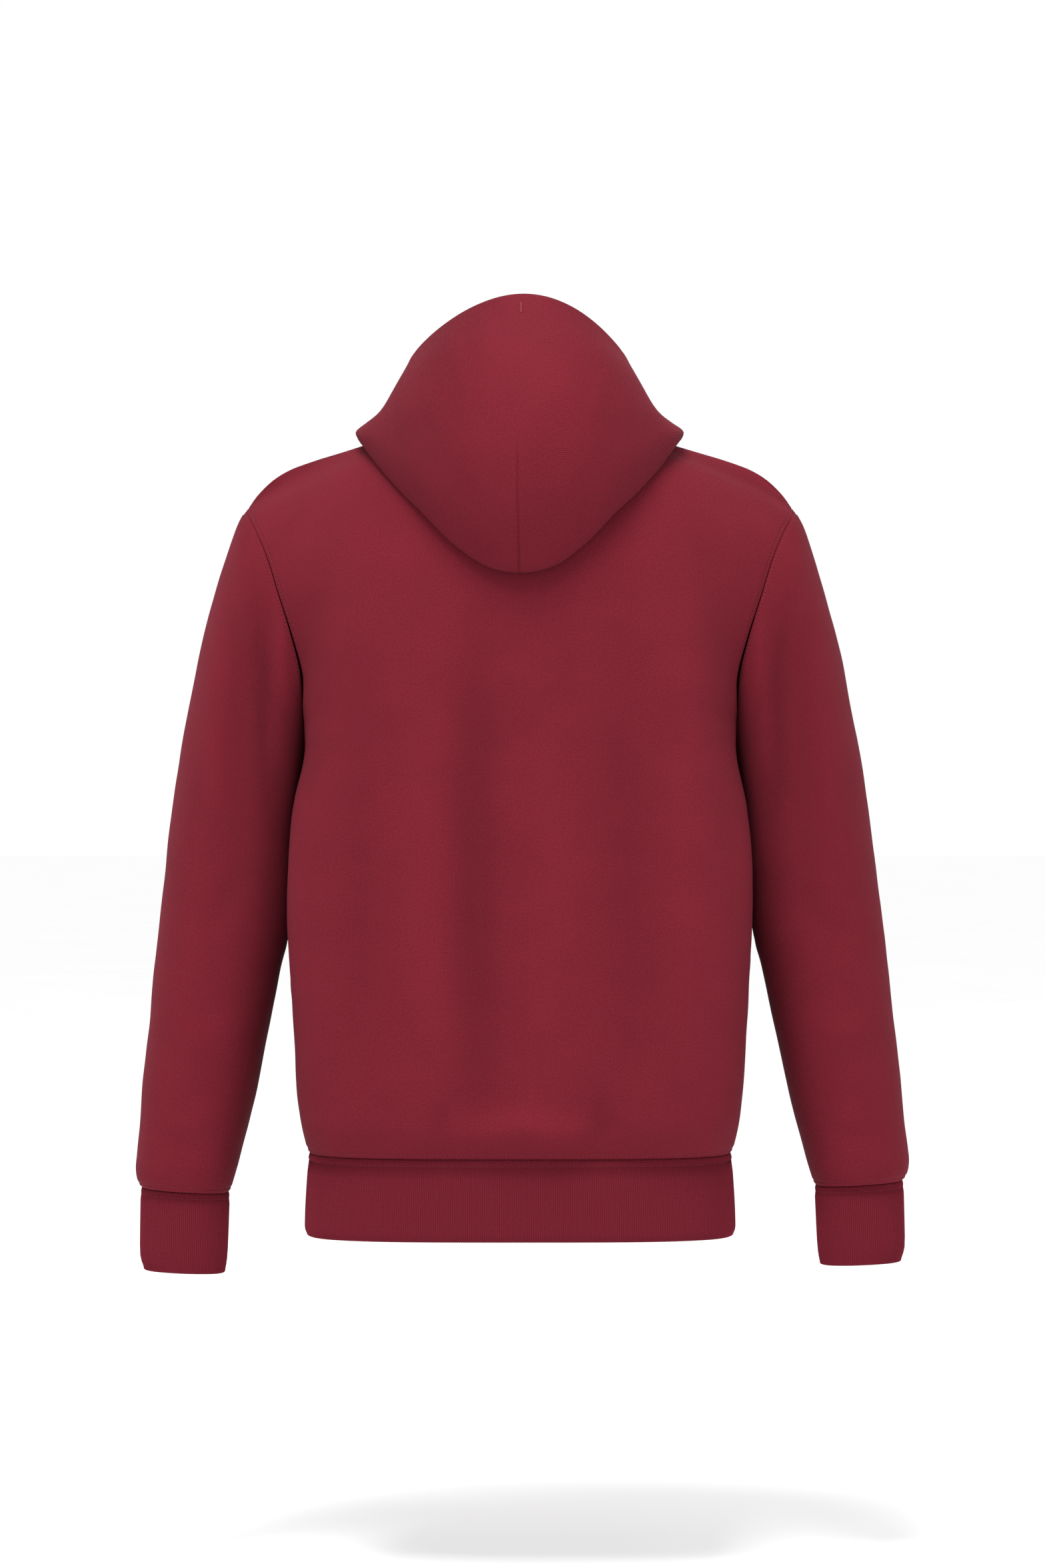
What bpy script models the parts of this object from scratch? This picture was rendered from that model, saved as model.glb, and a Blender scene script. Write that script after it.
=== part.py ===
"""Zip-up hoodie, filled out as when worn, with its hood turned down behind the neck.

Metres. +Z is up, the front faces -Y, +X is the wearer's left. The origin is between the
shoulders, level with the place where they carry the garment. Every cloth piece is a wall:
a grid of points on its outer face and the same grid moved in by the cloth's thickness.
"""

import math
from types import SimpleNamespace

import bmesh
import bpy
import numpy as np
from mathutils import Matrix, Vector

# ---------------------------------------------------------------- cloth and seams
CLOTH = 0.0020
RIB_CLOTH = 0.0024
SEAM_GAP = 0.0003
MITRE_LIMIT = 0.65  # the least cosine that a seam's mitre is stretched by
SHADE_ANGLE = math.radians(40)

# ---------------------------------------------------------------- body
SIDE_SEAM_Y = -0.012
WAIST_Z = -0.593
UNDERARM_Z = -0.250
NECK_POINT = SimpleNamespace(x=0.088, z=0.014)
SHOULDER_TIP_X = 0.2315
SHOULDER_SLOPE = 0.29
SHOULDER_ROUND_FROM = 0.170
SHOULDER_ROUND = 110.0
BACK_NECK = SimpleNamespace(depth=0.066, drop=0.034, curve=1.3)
FRONT_NECK = SimpleNamespace(depth=-0.118, drop=0.099, curve=1.4)
BACK_ROUNDING = 2.6
FRONT_ROUNDING = 2.2
BACK_ARMHOLE_REACH = 0.072
FRONT_ARMHOLE_REACH = -0.070
FRONT_ARMHOLE_SCOOP = 0.006
ARMHOLE_CURVE = 1.1
EDGE_PULL = 4.0
UNDERARM_GATHER = 0.09
UNDERARM_REACH = 0.17

# ---------------------------------------------------------------- grids
BODY_HEIGHTS = (WAIST_Z, -0.585, -0.572, -0.545, -0.49, -0.43, -0.37, -0.305, UNDERARM_Z)
YOKE_STEPS = (0.12, 0.24, 0.36, 0.47, 0.58, 0.69, 0.78, 0.87, 0.945, 1.0)
BACK_NECK_STEPS = 8
FRONT_NECK_STEPS = 9
SHOULDER_STEPS = 9
BACK_NECK_SHARE = 0.38
FRONT_NECK_SHARE = 0.42
CURVE_POINTS = 240

# ---------------------------------------------------------------- waistband and cuffs
CUFF_SEAM_Z = -0.625
RIB_HEIGHT = 0.0006
BAND_COLUMNS = 64
BAND_RIB_POINTS = 10
CUFF_COLUMNS = 20
CUFF_RIB_POINTS = 7

# ---------------------------------------------------------------- zip
ZIP_EDGE_X = 0.0085
TAPE_INNER_X = 0.0033
TAPE_OUTER_X = 0.0160
TAPE_SET_BACK = 0.0027
TAPE_CLOTH = 0.0010
TAPE_TOP_DROP = 0.0015
CHAIN_HALF_WIDTH = 0.0030
CHAIN_SET_BACK = 0.0018
CHAIN_THICK = 0.0028
STRIP_END = 0.0020  # how close to a strip's end a row of the front's points is still used
ZIP_FOOT_Z = -0.6570
BOX_TOP_Z = -0.6480
BOX_PROUD = 0.0004
BOX_BEVEL = 0.0005
SLIDER_Z = -0.0985
SLIDER_LENGTH = 0.0110
SLIDER_HALF_WIDTH = 0.0050
PLATE_THICK = 0.0014
PLATE_BEVEL = 0.0004
PULL_LENGTH = 0.0340
PULL_WIDTH = 0.0070
PULL_THICK = 0.0012
PULL_BEVEL = 0.0004
PULL_NECK_END = 0.35  # shares of the pull's length, width and thickness taken by its neck
PULL_TAB_START = 0.20
PULL_NECK_WIDE = 0.80
PULL_NECK_THICK = 0.45
PIN_RADIUS = 0.0008
PIN_CLEARANCE = 0.0003
EYE_WALL = 0.0007
EYE_HALF_LENGTH = 0.0017
EAR_THICK = 0.0009
EAR_HALF_HEIGHT = 0.0014
POST_HALF_WIDTH = 0.0012
PULL_LEAN = math.radians(15.0)


class Table:
    """Rows of named columns, read between rows along a curve that never overshoots them."""

    def __init__(self, columns, rows):
        self.columns = columns.split()[1:]
        table = np.array(rows, float)
        self.keys, self.rows = table[:, 0], table[:, 1:]
        self.spans = np.diff(self.keys)
        slopes = np.diff(self.rows, axis=0) / self.spans[:, None]
        limit = 3 * np.minimum(abs(slopes[1:]), abs(slopes[:-1]))
        inner = np.clip((slopes[1:] + slopes[:-1]) / 2, -limit, limit)
        inner = np.where(slopes[1:] * slopes[:-1] <= 0, 0, inner)
        self.slopes = np.vstack([slopes[:1], inner, slopes[-1:]])

    def values(self, key):
        key = float(np.clip(key, self.keys[0], self.keys[-1]))
        row = int(np.clip(np.searchsorted(self.keys, key) - 1, 0, len(self.spans) - 1))
        span = self.spans[row]
        t = (key - self.keys[row]) / span
        return (
            self.rows[row] * (1 + 2 * t) * (1 - t) ** 2
            + self.rows[row + 1] * t * t * (3 - 2 * t)
            + self.slopes[row] * span * t * (1 - t) ** 2
            + self.slopes[row + 1] * span * t * t * (t - 1)
        )

    def at(self, key):
        return SimpleNamespace(**dict(zip(self.columns, self.values(key))))


# Level sections of the body, from the waist seam up to the underarm. Depths are from the side
# seams, and a squareness of 2 is an ellipse.
BODY = Table(
    "z half_width back front back_square front_square",
    [
        (-0.593, 0.1778, 0.1120, 0.1060, 3.6, 3.0),
        (-0.583, 0.1803, 0.1190, 0.1105, 4.0, 3.1),
        (-0.572, 0.1824, 0.1235, 0.1130, 4.4, 3.1),
        (-0.550, 0.1854, 0.1270, 0.1160, 4.8, 3.2),
        (-0.500, 0.1888, 0.1300, 0.1195, 5.2, 3.2),
        (-0.400, 0.1916, 0.1340, 0.1240, 5.2, 3.2),
        (-0.330, 0.1885, 0.1360, 0.1255, 5.0, 3.2),
        (-0.285, 0.1835, 0.1370, 0.1255, 4.8, 3.1),
        (-0.250, 0.1785, 0.1370, 0.1250, 4.6, 3.0),
    ],
)

# Level sections of the rib waistband, bottom edge first.
BAND = Table(
    "z half_width back front back_square front_square",
    [
        (-0.6600, 0.1796, 0.1115, 0.1050, 3.6, 3.0),
        (-0.6550, 0.1812, 0.1130, 0.1066, 3.6, 3.0),
        (-0.5933, 0.1780, 0.1118, 0.1058, 3.6, 3.0),
    ],
)

# How far out the armhole seam lies at each height.
ARMHOLE = Table(
    "z x",
    [
        (-0.250, 0.1785),
        (-0.225, 0.1800),
        (-0.186, 0.1828),
        (-0.167, 0.1880),
        (-0.142, 0.1960),
        (-0.120, 0.2030),
        (-0.086, 0.2146),
        (-0.0532, 0.2315),
    ],
)

# Sections across the sleeve: its outermost and innermost points, and the middle and half of
# its depth.
SLEEVE = Table(
    "section outer_x outer_z inner_x inner_z middle_y half_depth square",
    [
        (1, 0.2402, -0.0702, 0.1818, -0.2620, -0.004, 0.0715, 2.2),
        (2, 0.2489, -0.0972, 0.1858, -0.2760, -0.006, 0.0745, 2.3),
        (3, 0.2567, -0.1242, 0.1892, -0.2920, -0.008, 0.0770, 2.4),
        (4, 0.2683, -0.1680, 0.1922, -0.3140, -0.011, 0.0785, 2.5),
        (5, 0.2778, -0.2129, 0.1942, -0.3370, -0.014, 0.0780, 2.5),
        (6, 0.2865, -0.2579, 0.1950, -0.3600, -0.016, 0.0765, 2.5),
        (7, 0.2935, -0.3028, 0.1957, -0.3850, -0.018, 0.0740, 2.4),
        (8, 0.3025, -0.3702, 0.1990, -0.4200, -0.021, 0.0695, 2.3),
        (9, 0.3079, -0.4152, 0.2059, -0.4489, -0.023, 0.0655, 2.3),
        (10, 0.3154, -0.4826, 0.2170, -0.5010, -0.026, 0.0600, 2.3),
        (11, 0.3202, -0.5275, 0.2240, -0.5350, -0.028, 0.0560, 2.3),
        (12, 0.3244, -0.5725, 0.2325, -0.5700, -0.030, 0.0520, 2.3),
        (13, 0.3272, -0.5950, 0.2385, -0.5920, -0.031, 0.0495, 2.3),
        (14, 0.3281, -0.6062, 0.2421, -0.6065, -0.031, 0.0475, 2.3),
        (15, 0.3270, -0.6150, 0.2452, -0.6175, -0.031, 0.0445, 2.2),
        (16, 0.3240, -0.6228, 0.2480, -0.6272, -0.031, 0.0400, 2.2),
    ],
)
SLEEVE_SECTIONS = range(1, 17)

# The same for the cuff, from its seam down to its folded edge.
CUFF = Table(
    "section outer_x outer_z inner_x inner_z middle_y half_depth square",
    [
        (0, 0.3238, -0.6231, 0.2482, -0.6275, -0.031, 0.0365, 2.2),
        (1, 0.3247, -0.6736, 0.2503, -0.6770, -0.031, 0.0360, 2.2),
        (2, 0.3215, -0.6905, 0.2525, -0.6935, -0.031, 0.0335, 2.2),
    ],
)

# Each arm hangs a little differently: how far its wrist is lowered and moved outwards.
HANG = {
    "left": SimpleNamespace(side=1, lower=0.0030, outwards=-0.0016),
    "right": SimpleNamespace(side=-1, lower=-0.0030, outwards=0.0018),
}

# Upright sections of the hood, by the angle round the neck from centre back. Its cloth rises
# from the neck seam to a crown, lies down over the body to its lowest fold, turns out and up
# to the pouch's ridge, and ends at the rim of the face opening.
HOOD_AXIS_Y = -0.020
HOOD = Table(
    "angle crown_out crown_up under_out under_up fold_reach fold_z "
    "ridge_reach ridge_z rim_reach rim_z bulge",
    [
        (0, 0.016, 0.016, 0.018, 0.010, 0.1560, -0.1125, 0.1880, -0.012, 0.1050, 0.1215, 0.012),
        (14, 0.016, 0.016, 0.018, 0.010, 0.1555, -0.1030, 0.1840, -0.010, 0.1090, 0.1172, 0.012),
        (29, 0.015, 0.016, 0.017, 0.010, 0.1545, -0.0675, 0.1730, -0.004, 0.1140, 0.1030, 0.010),
        (46, 0.013, 0.015, 0.014, 0.010, 0.1500, -0.0320, 0.1590, 0.003, 0.1165, 0.0795, 0.003),
        (60, 0.011, 0.014, 0.010, 0.009, 0.1440, -0.0090, 0.1510, 0.008, 0.1085, 0.0590, -0.002),
        (78, 0.009, 0.013, 0.006, 0.008, 0.1350, 0.0035, 0.1410, 0.012, 0.1010, 0.0450, -0.003),
        (99, 0.008, 0.012, 0.005, 0.006, 0.1260, 0.0005, 0.1335, 0.011, 0.0950, 0.0300, -0.003),
        (121, 0.007, 0.011, 0.004, 0.005, 0.1185, -0.0190, 0.1260, -0.008, 0.0935, 0.0080, 0.001),
        (143, 0.006, 0.009, 0.003, 0.003, 0.1120, -0.0490, 0.1190, -0.037, 0.0955, -0.0170, 0.002),
        (162, 0.004, 0.006, 0.001, 0.002, 0.1090, -0.0700, 0.1150, -0.059, 0.1010, -0.0360, 0.002),
        (176, 0.002, 0.003, 0.000, 0.001, 0.1040, -0.0750, 0.1080, -0.064, 0.1060, -0.0440, 0.000),
    ],
)
HOOD_STEPS = 15

# How far the hood leans to one side at each height.
HOOD_LEAN = Table(
    "z sideways",
    [
        (-0.110, 0.0),
        (-0.020, 0.0012),
        (0.070, 0.0012),
        (0.127, -0.0035),
    ],
)


# ---------------------------------------------------------------- vectors and curves
def unit(vectors):
    """Vectors of any shape, each with a length of one."""
    return vectors / np.linalg.norm(vectors, axis=-1, keepdims=True)


def dot(a, b):
    return (a * b).sum(axis=-1, keepdims=True)


def along(curve, shares):
    """Points on a polyline at these shares of its length."""
    steps = np.linalg.norm(np.diff(curve, axis=0), axis=1)
    travelled = np.concatenate([[0], np.cumsum(steps)])
    wanted = np.asarray(shares) * travelled[-1]
    return np.stack([np.interp(wanted, travelled, c) for c in curve.T], axis=1)


def smooth_curve(controls, count):
    """A rounded curve through flat control points, closer where they are close."""
    controls = np.array(controls)
    steps = np.linalg.norm(np.diff(controls, axis=0), axis=1) ** 0.5
    knots = np.concatenate([[0], np.cumsum(steps)])
    table = Table("knot reach height", np.column_stack([knots, controls]))
    return np.array([table.values(knot) for knot in np.linspace(0, knots[-1], count)])


# ---------------------------------------------------------------- body surfaces
def half_section(half_width, depth, square, z):
    """One quarter of a level section, from the middle of the panel to the side seam."""
    turn = np.linspace(math.pi / 2, 0, CURVE_POINTS)
    x = half_width * np.cos(turn).clip(0) ** (2 / square)
    y = SIDE_SEAM_Y + depth * np.sin(turn).clip(0) ** (2 / square)
    return np.stack([x, y, np.full_like(x, z)], axis=1)


def level_curve(table, z, front):
    row = table.at(z)
    if front:
        return half_section(row.half_width, -row.front, row.front_square, z)
    return half_section(row.half_width, row.back, row.back_square, z)


def from_zip(curve):
    """The part of a front curve that lies outside the zip's edge."""
    kept = curve[curve[:, 0] > ZIP_EDGE_X]
    first = np.array([np.interp(ZIP_EDGE_X, curve[:, 0], c) for c in curve.T])
    return np.vstack([first, kept])


def neck_curve(front):
    """The neckline, from the middle of the panel to the shoulder's neck point."""
    neck = FRONT_NECK if front else BACK_NECK
    turn = np.linspace(0, math.pi / 2, CURVE_POINTS)
    fall = np.cos(turn).clip(0)
    z = NECK_POINT.z - neck.drop * fall**neck.curve
    return np.stack([NECK_POINT.x * np.sin(turn), neck.depth * fall, z], axis=1)


def shoulder_curve():
    x = np.linspace(NECK_POINT.x, SHOULDER_TIP_X, CURVE_POINTS)
    z = NECK_POINT.z - SHOULDER_SLOPE * (x - NECK_POINT.x)
    z = z - SHOULDER_ROUND * (x - SHOULDER_ROUND_FROM).clip(0) ** 3
    return np.stack([x, 0 * x, z], axis=1)


def panel_shares(front):
    """Where a panel's columns lie between its middle and its side, as shares of the width."""
    neck_steps = FRONT_NECK_STEPS if front else BACK_NECK_STEPS
    neck_share = FRONT_NECK_SHARE if front else BACK_NECK_SHARE
    neck = np.linspace(0, neck_share, neck_steps + 1)
    return np.concatenate([neck, np.linspace(neck_share, 1, SHOULDER_STEPS + 1)[1:]])


def armhole_point(step, front):
    """A point of the armhole: 0 is the underarm, 1 the shoulder tip."""
    swing = math.sin(math.pi * step)
    top = shoulder_curve()[-1, 2]
    z = UNDERARM_Z + (top - UNDERARM_Z) * (1 - math.cos(math.pi * step)) / 2
    reach = FRONT_ARMHOLE_REACH if front else BACK_ARMHOLE_REACH
    scoop = FRONT_ARMHOLE_SCOOP * swing if front else 0.0
    y = SIDE_SEAM_Y * (1 - step) + reach * max(swing, 0.0) ** ARMHOLE_CURVE
    return np.array([ARMHOLE.at(z).x - scoop, y, z])


def top_curve(front, shares):
    """The neckline and shoulder seam as one line, at these shares of a panel's columns."""
    columns = panel_shares(front)
    steps = FRONT_NECK_STEPS if front else BACK_NECK_STEPS
    neck = neck_curve(front)
    neck = along(from_zip(neck) if front else neck, np.linspace(0, 1, steps + 1))
    shoulder = along(shoulder_curve(), np.linspace(0, 1, SHOULDER_STEPS + 1))
    line = np.vstack([neck, shoulder[1:]])
    return np.stack([np.interp(shares, columns, c) for c in line.T], axis=1)


def yoke_row(base, top, step, front, shares):
    """Half a panel's row above the underarm, from its middle to the armhole."""
    rounding = FRONT_ROUNDING if front else BACK_ROUNDING
    rise = (1 - math.cos(math.pi * step)) / 2
    bow = max(1 - rise**rounding, 0.0) ** (1 / rounding)
    end = armhole_point(step, front)
    spread = (ARMHOLE.at(end[2]).x - base[-1, 0]) / (top[-1, 0] - base[-1, 0])
    row = base + (top - base) * np.array([spread, 1 - bow, rise])
    depth = abs(row[:, 1])
    before = row[depth > abs(end[1]) + 1e-6]
    after = row[len(before)] if len(before) < len(row) else row[-1]
    share = (abs(before[-1, 1]) - abs(end[1])) / max(abs(before[-1, 1]) - abs(after[1]), 1e-9)
    row = np.vstack([before, before[-1] + (after - before[-1]) * min(share, 1.0)])
    row = along(row, shares)
    return row + shares[:, None] ** EDGE_PULL * (end - row[-1])


def panel_half(front):
    """Outer points of half a panel: rows from the waist up, columns from the middle out."""
    shares = panel_shares(front)
    cut = from_zip if front else (lambda curve: curve)
    rows = []
    for z in BODY_HEIGHTS:
        near = max(1 - (UNDERARM_Z - z) / UNDERARM_REACH, 0.0)
        places = shares * (1 - UNDERARM_GATHER * near**2)
        places[-1] = 1.0
        rows.append(along(cut(level_curve(BODY, z, front)), places))
    fine = np.linspace(0, 1, CURVE_POINTS)
    base, top = along(cut(level_curve(BODY, UNDERARM_Z, front)), fine), top_curve(front, fine)
    rows += [yoke_row(base, top, step, front, shares) for step in YOKE_STEPS[:-1]]
    return np.array(rows + [top_curve(front, shares)])


def mirrored(grid):
    """The grid on the other side of the middle, with its columns in the same order."""
    return grid * np.array([-1, 1, 1])


# ---------------------------------------------------------------- sheets of cloth
class Sheet:
    """A grid of outer points, and from each the way out of the cloth.

    Seen from outside, the columns run to the right as the rows run up, unless it is turned."""

    def __init__(self, points, closed=False, turned=False):
        self.points = np.array(points, float)
        self.closed = closed
        self.turned = turned
        if closed:
            across = np.roll(self.points, -1, axis=1) - np.roll(self.points, 1, axis=1)
        else:
            across = np.gradient(self.points, axis=1)
        self.normals = unit(np.cross(across, np.gradient(self.points, axis=0)))
        if turned:
            self.normals = -self.normals


def shared_edge(line, first, second, towards):
    """The mitre between two cloths that meet along a line, and the way across it.

    first and second are their normals there, and towards points roughly from the first
    cloth to the second."""
    mitre = unit(first + second)
    stretch = 1 / np.maximum(dot(mitre, first), MITRE_LIMIT)
    across = unit(np.cross(np.gradient(line, axis=0), mitre))
    across = across * np.where(dot(across, towards) < 0, -1, 1)
    return mitre * stretch, across


def sleeve_ring(table, section):
    """The middle of a sleeve's section and its two half axes."""
    row = table.at(section)
    outer = np.array([row.outer_x, row.middle_y, row.outer_z])
    inner = np.array([row.inner_x, row.middle_y, row.inner_z])
    return (outer + inner) / 2, (outer - inner) / 2, np.array([0, row.half_depth, 0]), row.square


def ring_points(table, section, turns):
    """Points round a sleeve's section: 0 is its outer side, a quarter turn its back."""
    middle, out, back, square = sleeve_ring(table, section)
    c, s = np.cos(turns), np.sin(turns)
    power = 2 / square
    return (
        middle
        + out * (np.sign(c) * abs(c) ** power)[:, None]
        + back * (np.sign(s) * abs(s) ** power)[:, None]
    )


def hang(points, side):
    """Lower and splay an arm, more towards the wrist, on the side where it belongs."""
    share = ((UNDERARM_Z - points[..., 2]) / (UNDERARM_Z - CUFF_SEAM_Z)).clip(0, 1.3)
    moved = points.copy()
    moved[..., 0] += share * side.outwards
    moved[..., 2] -= share * side.lower
    moved[..., 0] *= side.side
    return moved


# ---------------------------------------------------------------- hood
def hood_profile(neck_point):
    """One upright section of the hood's outer face, from its neck seam to its rim."""
    x, y, z = neck_point
    angle = math.degrees(math.atan2(abs(x), y - HOOD_AXIS_Y))
    way = unit(np.array([x, y - HOOD_AXIS_Y]))
    row = HOOD.at(angle)
    neck = np.array([math.hypot(x, y - HOOD_AXIS_Y), z])
    fold = np.array([row.fold_reach, row.fold_z])
    ridge = np.array([row.ridge_reach, row.ridge_z])
    rim = np.array([row.rim_reach, row.rim_z])
    stand = neck + np.array([row.crown_out * 0.15, row.crown_up * 0.75])
    crown = neck + np.array([row.crown_out * 0.6, row.crown_up])
    under = (crown + fold) / 2 + np.array([row.under_out, row.under_up])
    turn = fold + (ridge - fold) * np.array([0.75, 0.42])
    upper = (ridge + rim) / 2 + np.array([row.bulge, row.bulge])
    flat = smooth_curve([neck, stand, crown, under, fold, turn, ridge, upper, rim], HOOD_STEPS + 1)
    lean = np.array([HOOD_LEAN.at(h).sideways for h in flat[:, 1]])
    lean = lean * np.linspace(0, 1, len(flat))
    reach, height = flat.T
    return np.stack([way[0] * reach + lean, HOOD_AXIS_Y + way[1] * reach, height], axis=1)


# ---------------------------------------------------------------- meshes
def make_object(name, bm, material):
    mesh = bpy.data.meshes.new(name)
    bm.to_mesh(mesh)
    bm.free()
    mesh.shade_smooth()
    mesh.set_sharp_from_angle(angle=SHADE_ANGLE)
    mesh.materials.append(material)
    obj = bpy.data.objects.new(name, mesh)
    bpy.context.scene.collection.objects.link(obj)
    return obj


def add_grid(bm, points, closed, turned):
    """A skin of quads over a grid of points, and its vertices row by row."""
    rows = [[bm.verts.new(p) for p in row] for row in points]
    count = len(rows[0])
    for lower, upper in zip(rows, rows[1:]):
        for i in range(count if closed else count - 1):
            j = (i + 1) % count
            corners = (lower[i], lower[j], upper[j], upper[i])
            bm.faces.new(corners[::-1] if turned else corners)
    return rows


def cloth_wall(name, sheet, thickness, material):
    """A closed solid of one sheet of cloth."""
    bm = bmesh.new()
    add_grid(bm, sheet.points, sheet.closed, sheet.turned)
    add_grid(bm, sheet.points - sheet.normals * thickness, sheet.closed, not sheet.turned)
    bm.verts.ensure_lookup_table()
    bm.verts.index_update()
    size = sheet.points.shape[0] * sheet.points.shape[1]
    for edge in [edge for edge in bm.edges if edge.is_boundary and edge.verts[0].index < size]:
        loop = edge.link_loops[0]
        start, end = loop.vert, loop.link_loop_next.vert
        bm.faces.new((end, start, bm.verts[start.index + size], bm.verts[end.index + size]))
    bmesh.ops.triangulate(bm, faces=bm.faces, quad_method="SHORT_EDGE")
    return make_object(name, bm, material)


def ribbed_wall(name, outer, inner, closed, material, turned=False):
    """A closed solid of rib knit: a fluted outer skin over a plain inner one.

    The outer rows have a whole number of points for each column of the inner rows."""
    bm = bmesh.new()
    out_rows = add_grid(bm, outer, closed, turned)
    in_rows = add_grid(bm, inner, closed, not turned)
    columns = len(in_rows[0]) if closed else len(in_rows[0]) - 1
    each = len(out_rows[0]) // columns
    for end in (0, -1):
        out_row, in_row = out_rows[end], in_rows[end]
        for column in range(columns):
            start, stop = in_row[column], in_row[(column + 1) % len(in_row)]
            fine = [out_row[(column * each + k) % len(out_row)] for k in range(each + 1)]
            half = each // 2
            fans = [(start, fine[k + 1], fine[k]) for k in range(half)]
            fans.append((start, stop, fine[half]))
            fans += [(stop, fine[k + 1], fine[k]) for k in range(half, each)]
            for fan in fans:
                bm.faces.new(fan[::-1] if (end == -1) != turned else fan)
    if not closed:
        for end in (0, -1):
            for k in range(len(out_rows) - 1):
                corners = (out_rows[k][end], out_rows[k + 1][end], in_rows[k + 1][end], in_rows[k][end])
                bm.faces.new(corners[::-1] if (end == 0) == turned else corners)
    return make_object(name, bm, material)


def mirror_of(obj, name):
    """The same piece on the other side of the middle."""
    bm = bmesh.new()
    bm.from_mesh(obj.data)
    bm.transform(Matrix.Scale(-1, 4, (1, 0, 0)))
    bmesh.ops.reverse_faces(bm, faces=bm.faces)
    return make_object(name, bm, obj.data.materials[0])


def box_in(frame, low, high):
    """A box between two corners in a local frame, as a new bmesh."""
    bm = bmesh.new()
    bmesh.ops.create_cube(bm, size=1.0)
    size = Vector(high) - Vector(low)
    middle = (Vector(high) + Vector(low)) / 2
    bm.transform(frame @ Matrix.Translation(middle) @ Matrix.Diagonal((*size, 1)))
    return bm


def bevelled(bm, width, segments=1):
    bmesh.ops.bevel(
        bm, geom=bm.edges[:], offset=width, segments=segments, profile=0.5, affect="EDGES", material=-1
    )
    return bm


def rod_in(frame, radius, half_length, sides=16):
    """A rod along the frame's X axis."""
    bm = bmesh.new()
    bmesh.ops.create_cone(
        bm, cap_ends=True, segments=sides, radius1=radius, radius2=radius, depth=2 * half_length
    )
    bm.transform(frame @ Matrix.Rotation(math.pi / 2, 4, "Y"))
    return bm


def combine(obj, bm, operation):
    """Join a shape to an object, or cut it away, with a hidden helper."""
    helper = make_object(f"helper_{obj.name}_{len(obj.modifiers)}", bm, obj.data.materials[0])
    helper.hide_render = True
    helper.display_type = "WIRE"
    modifier = obj.modifiers.new(operation.lower(), "BOOLEAN")
    modifier.operation = operation
    modifier.object = helper


# ---------------------------------------------------------------- materials
def finish(name, colour, roughness, metallic=0.0):
    material = bpy.data.materials.new(name)
    material.use_nodes = True
    shader = material.node_tree.nodes["Principled BSDF"]
    shader.inputs["Base Color"].default_value = (*colour, 1)
    shader.inputs["Roughness"].default_value = roughness
    shader.inputs["Metallic"].default_value = metallic
    return material


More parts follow.
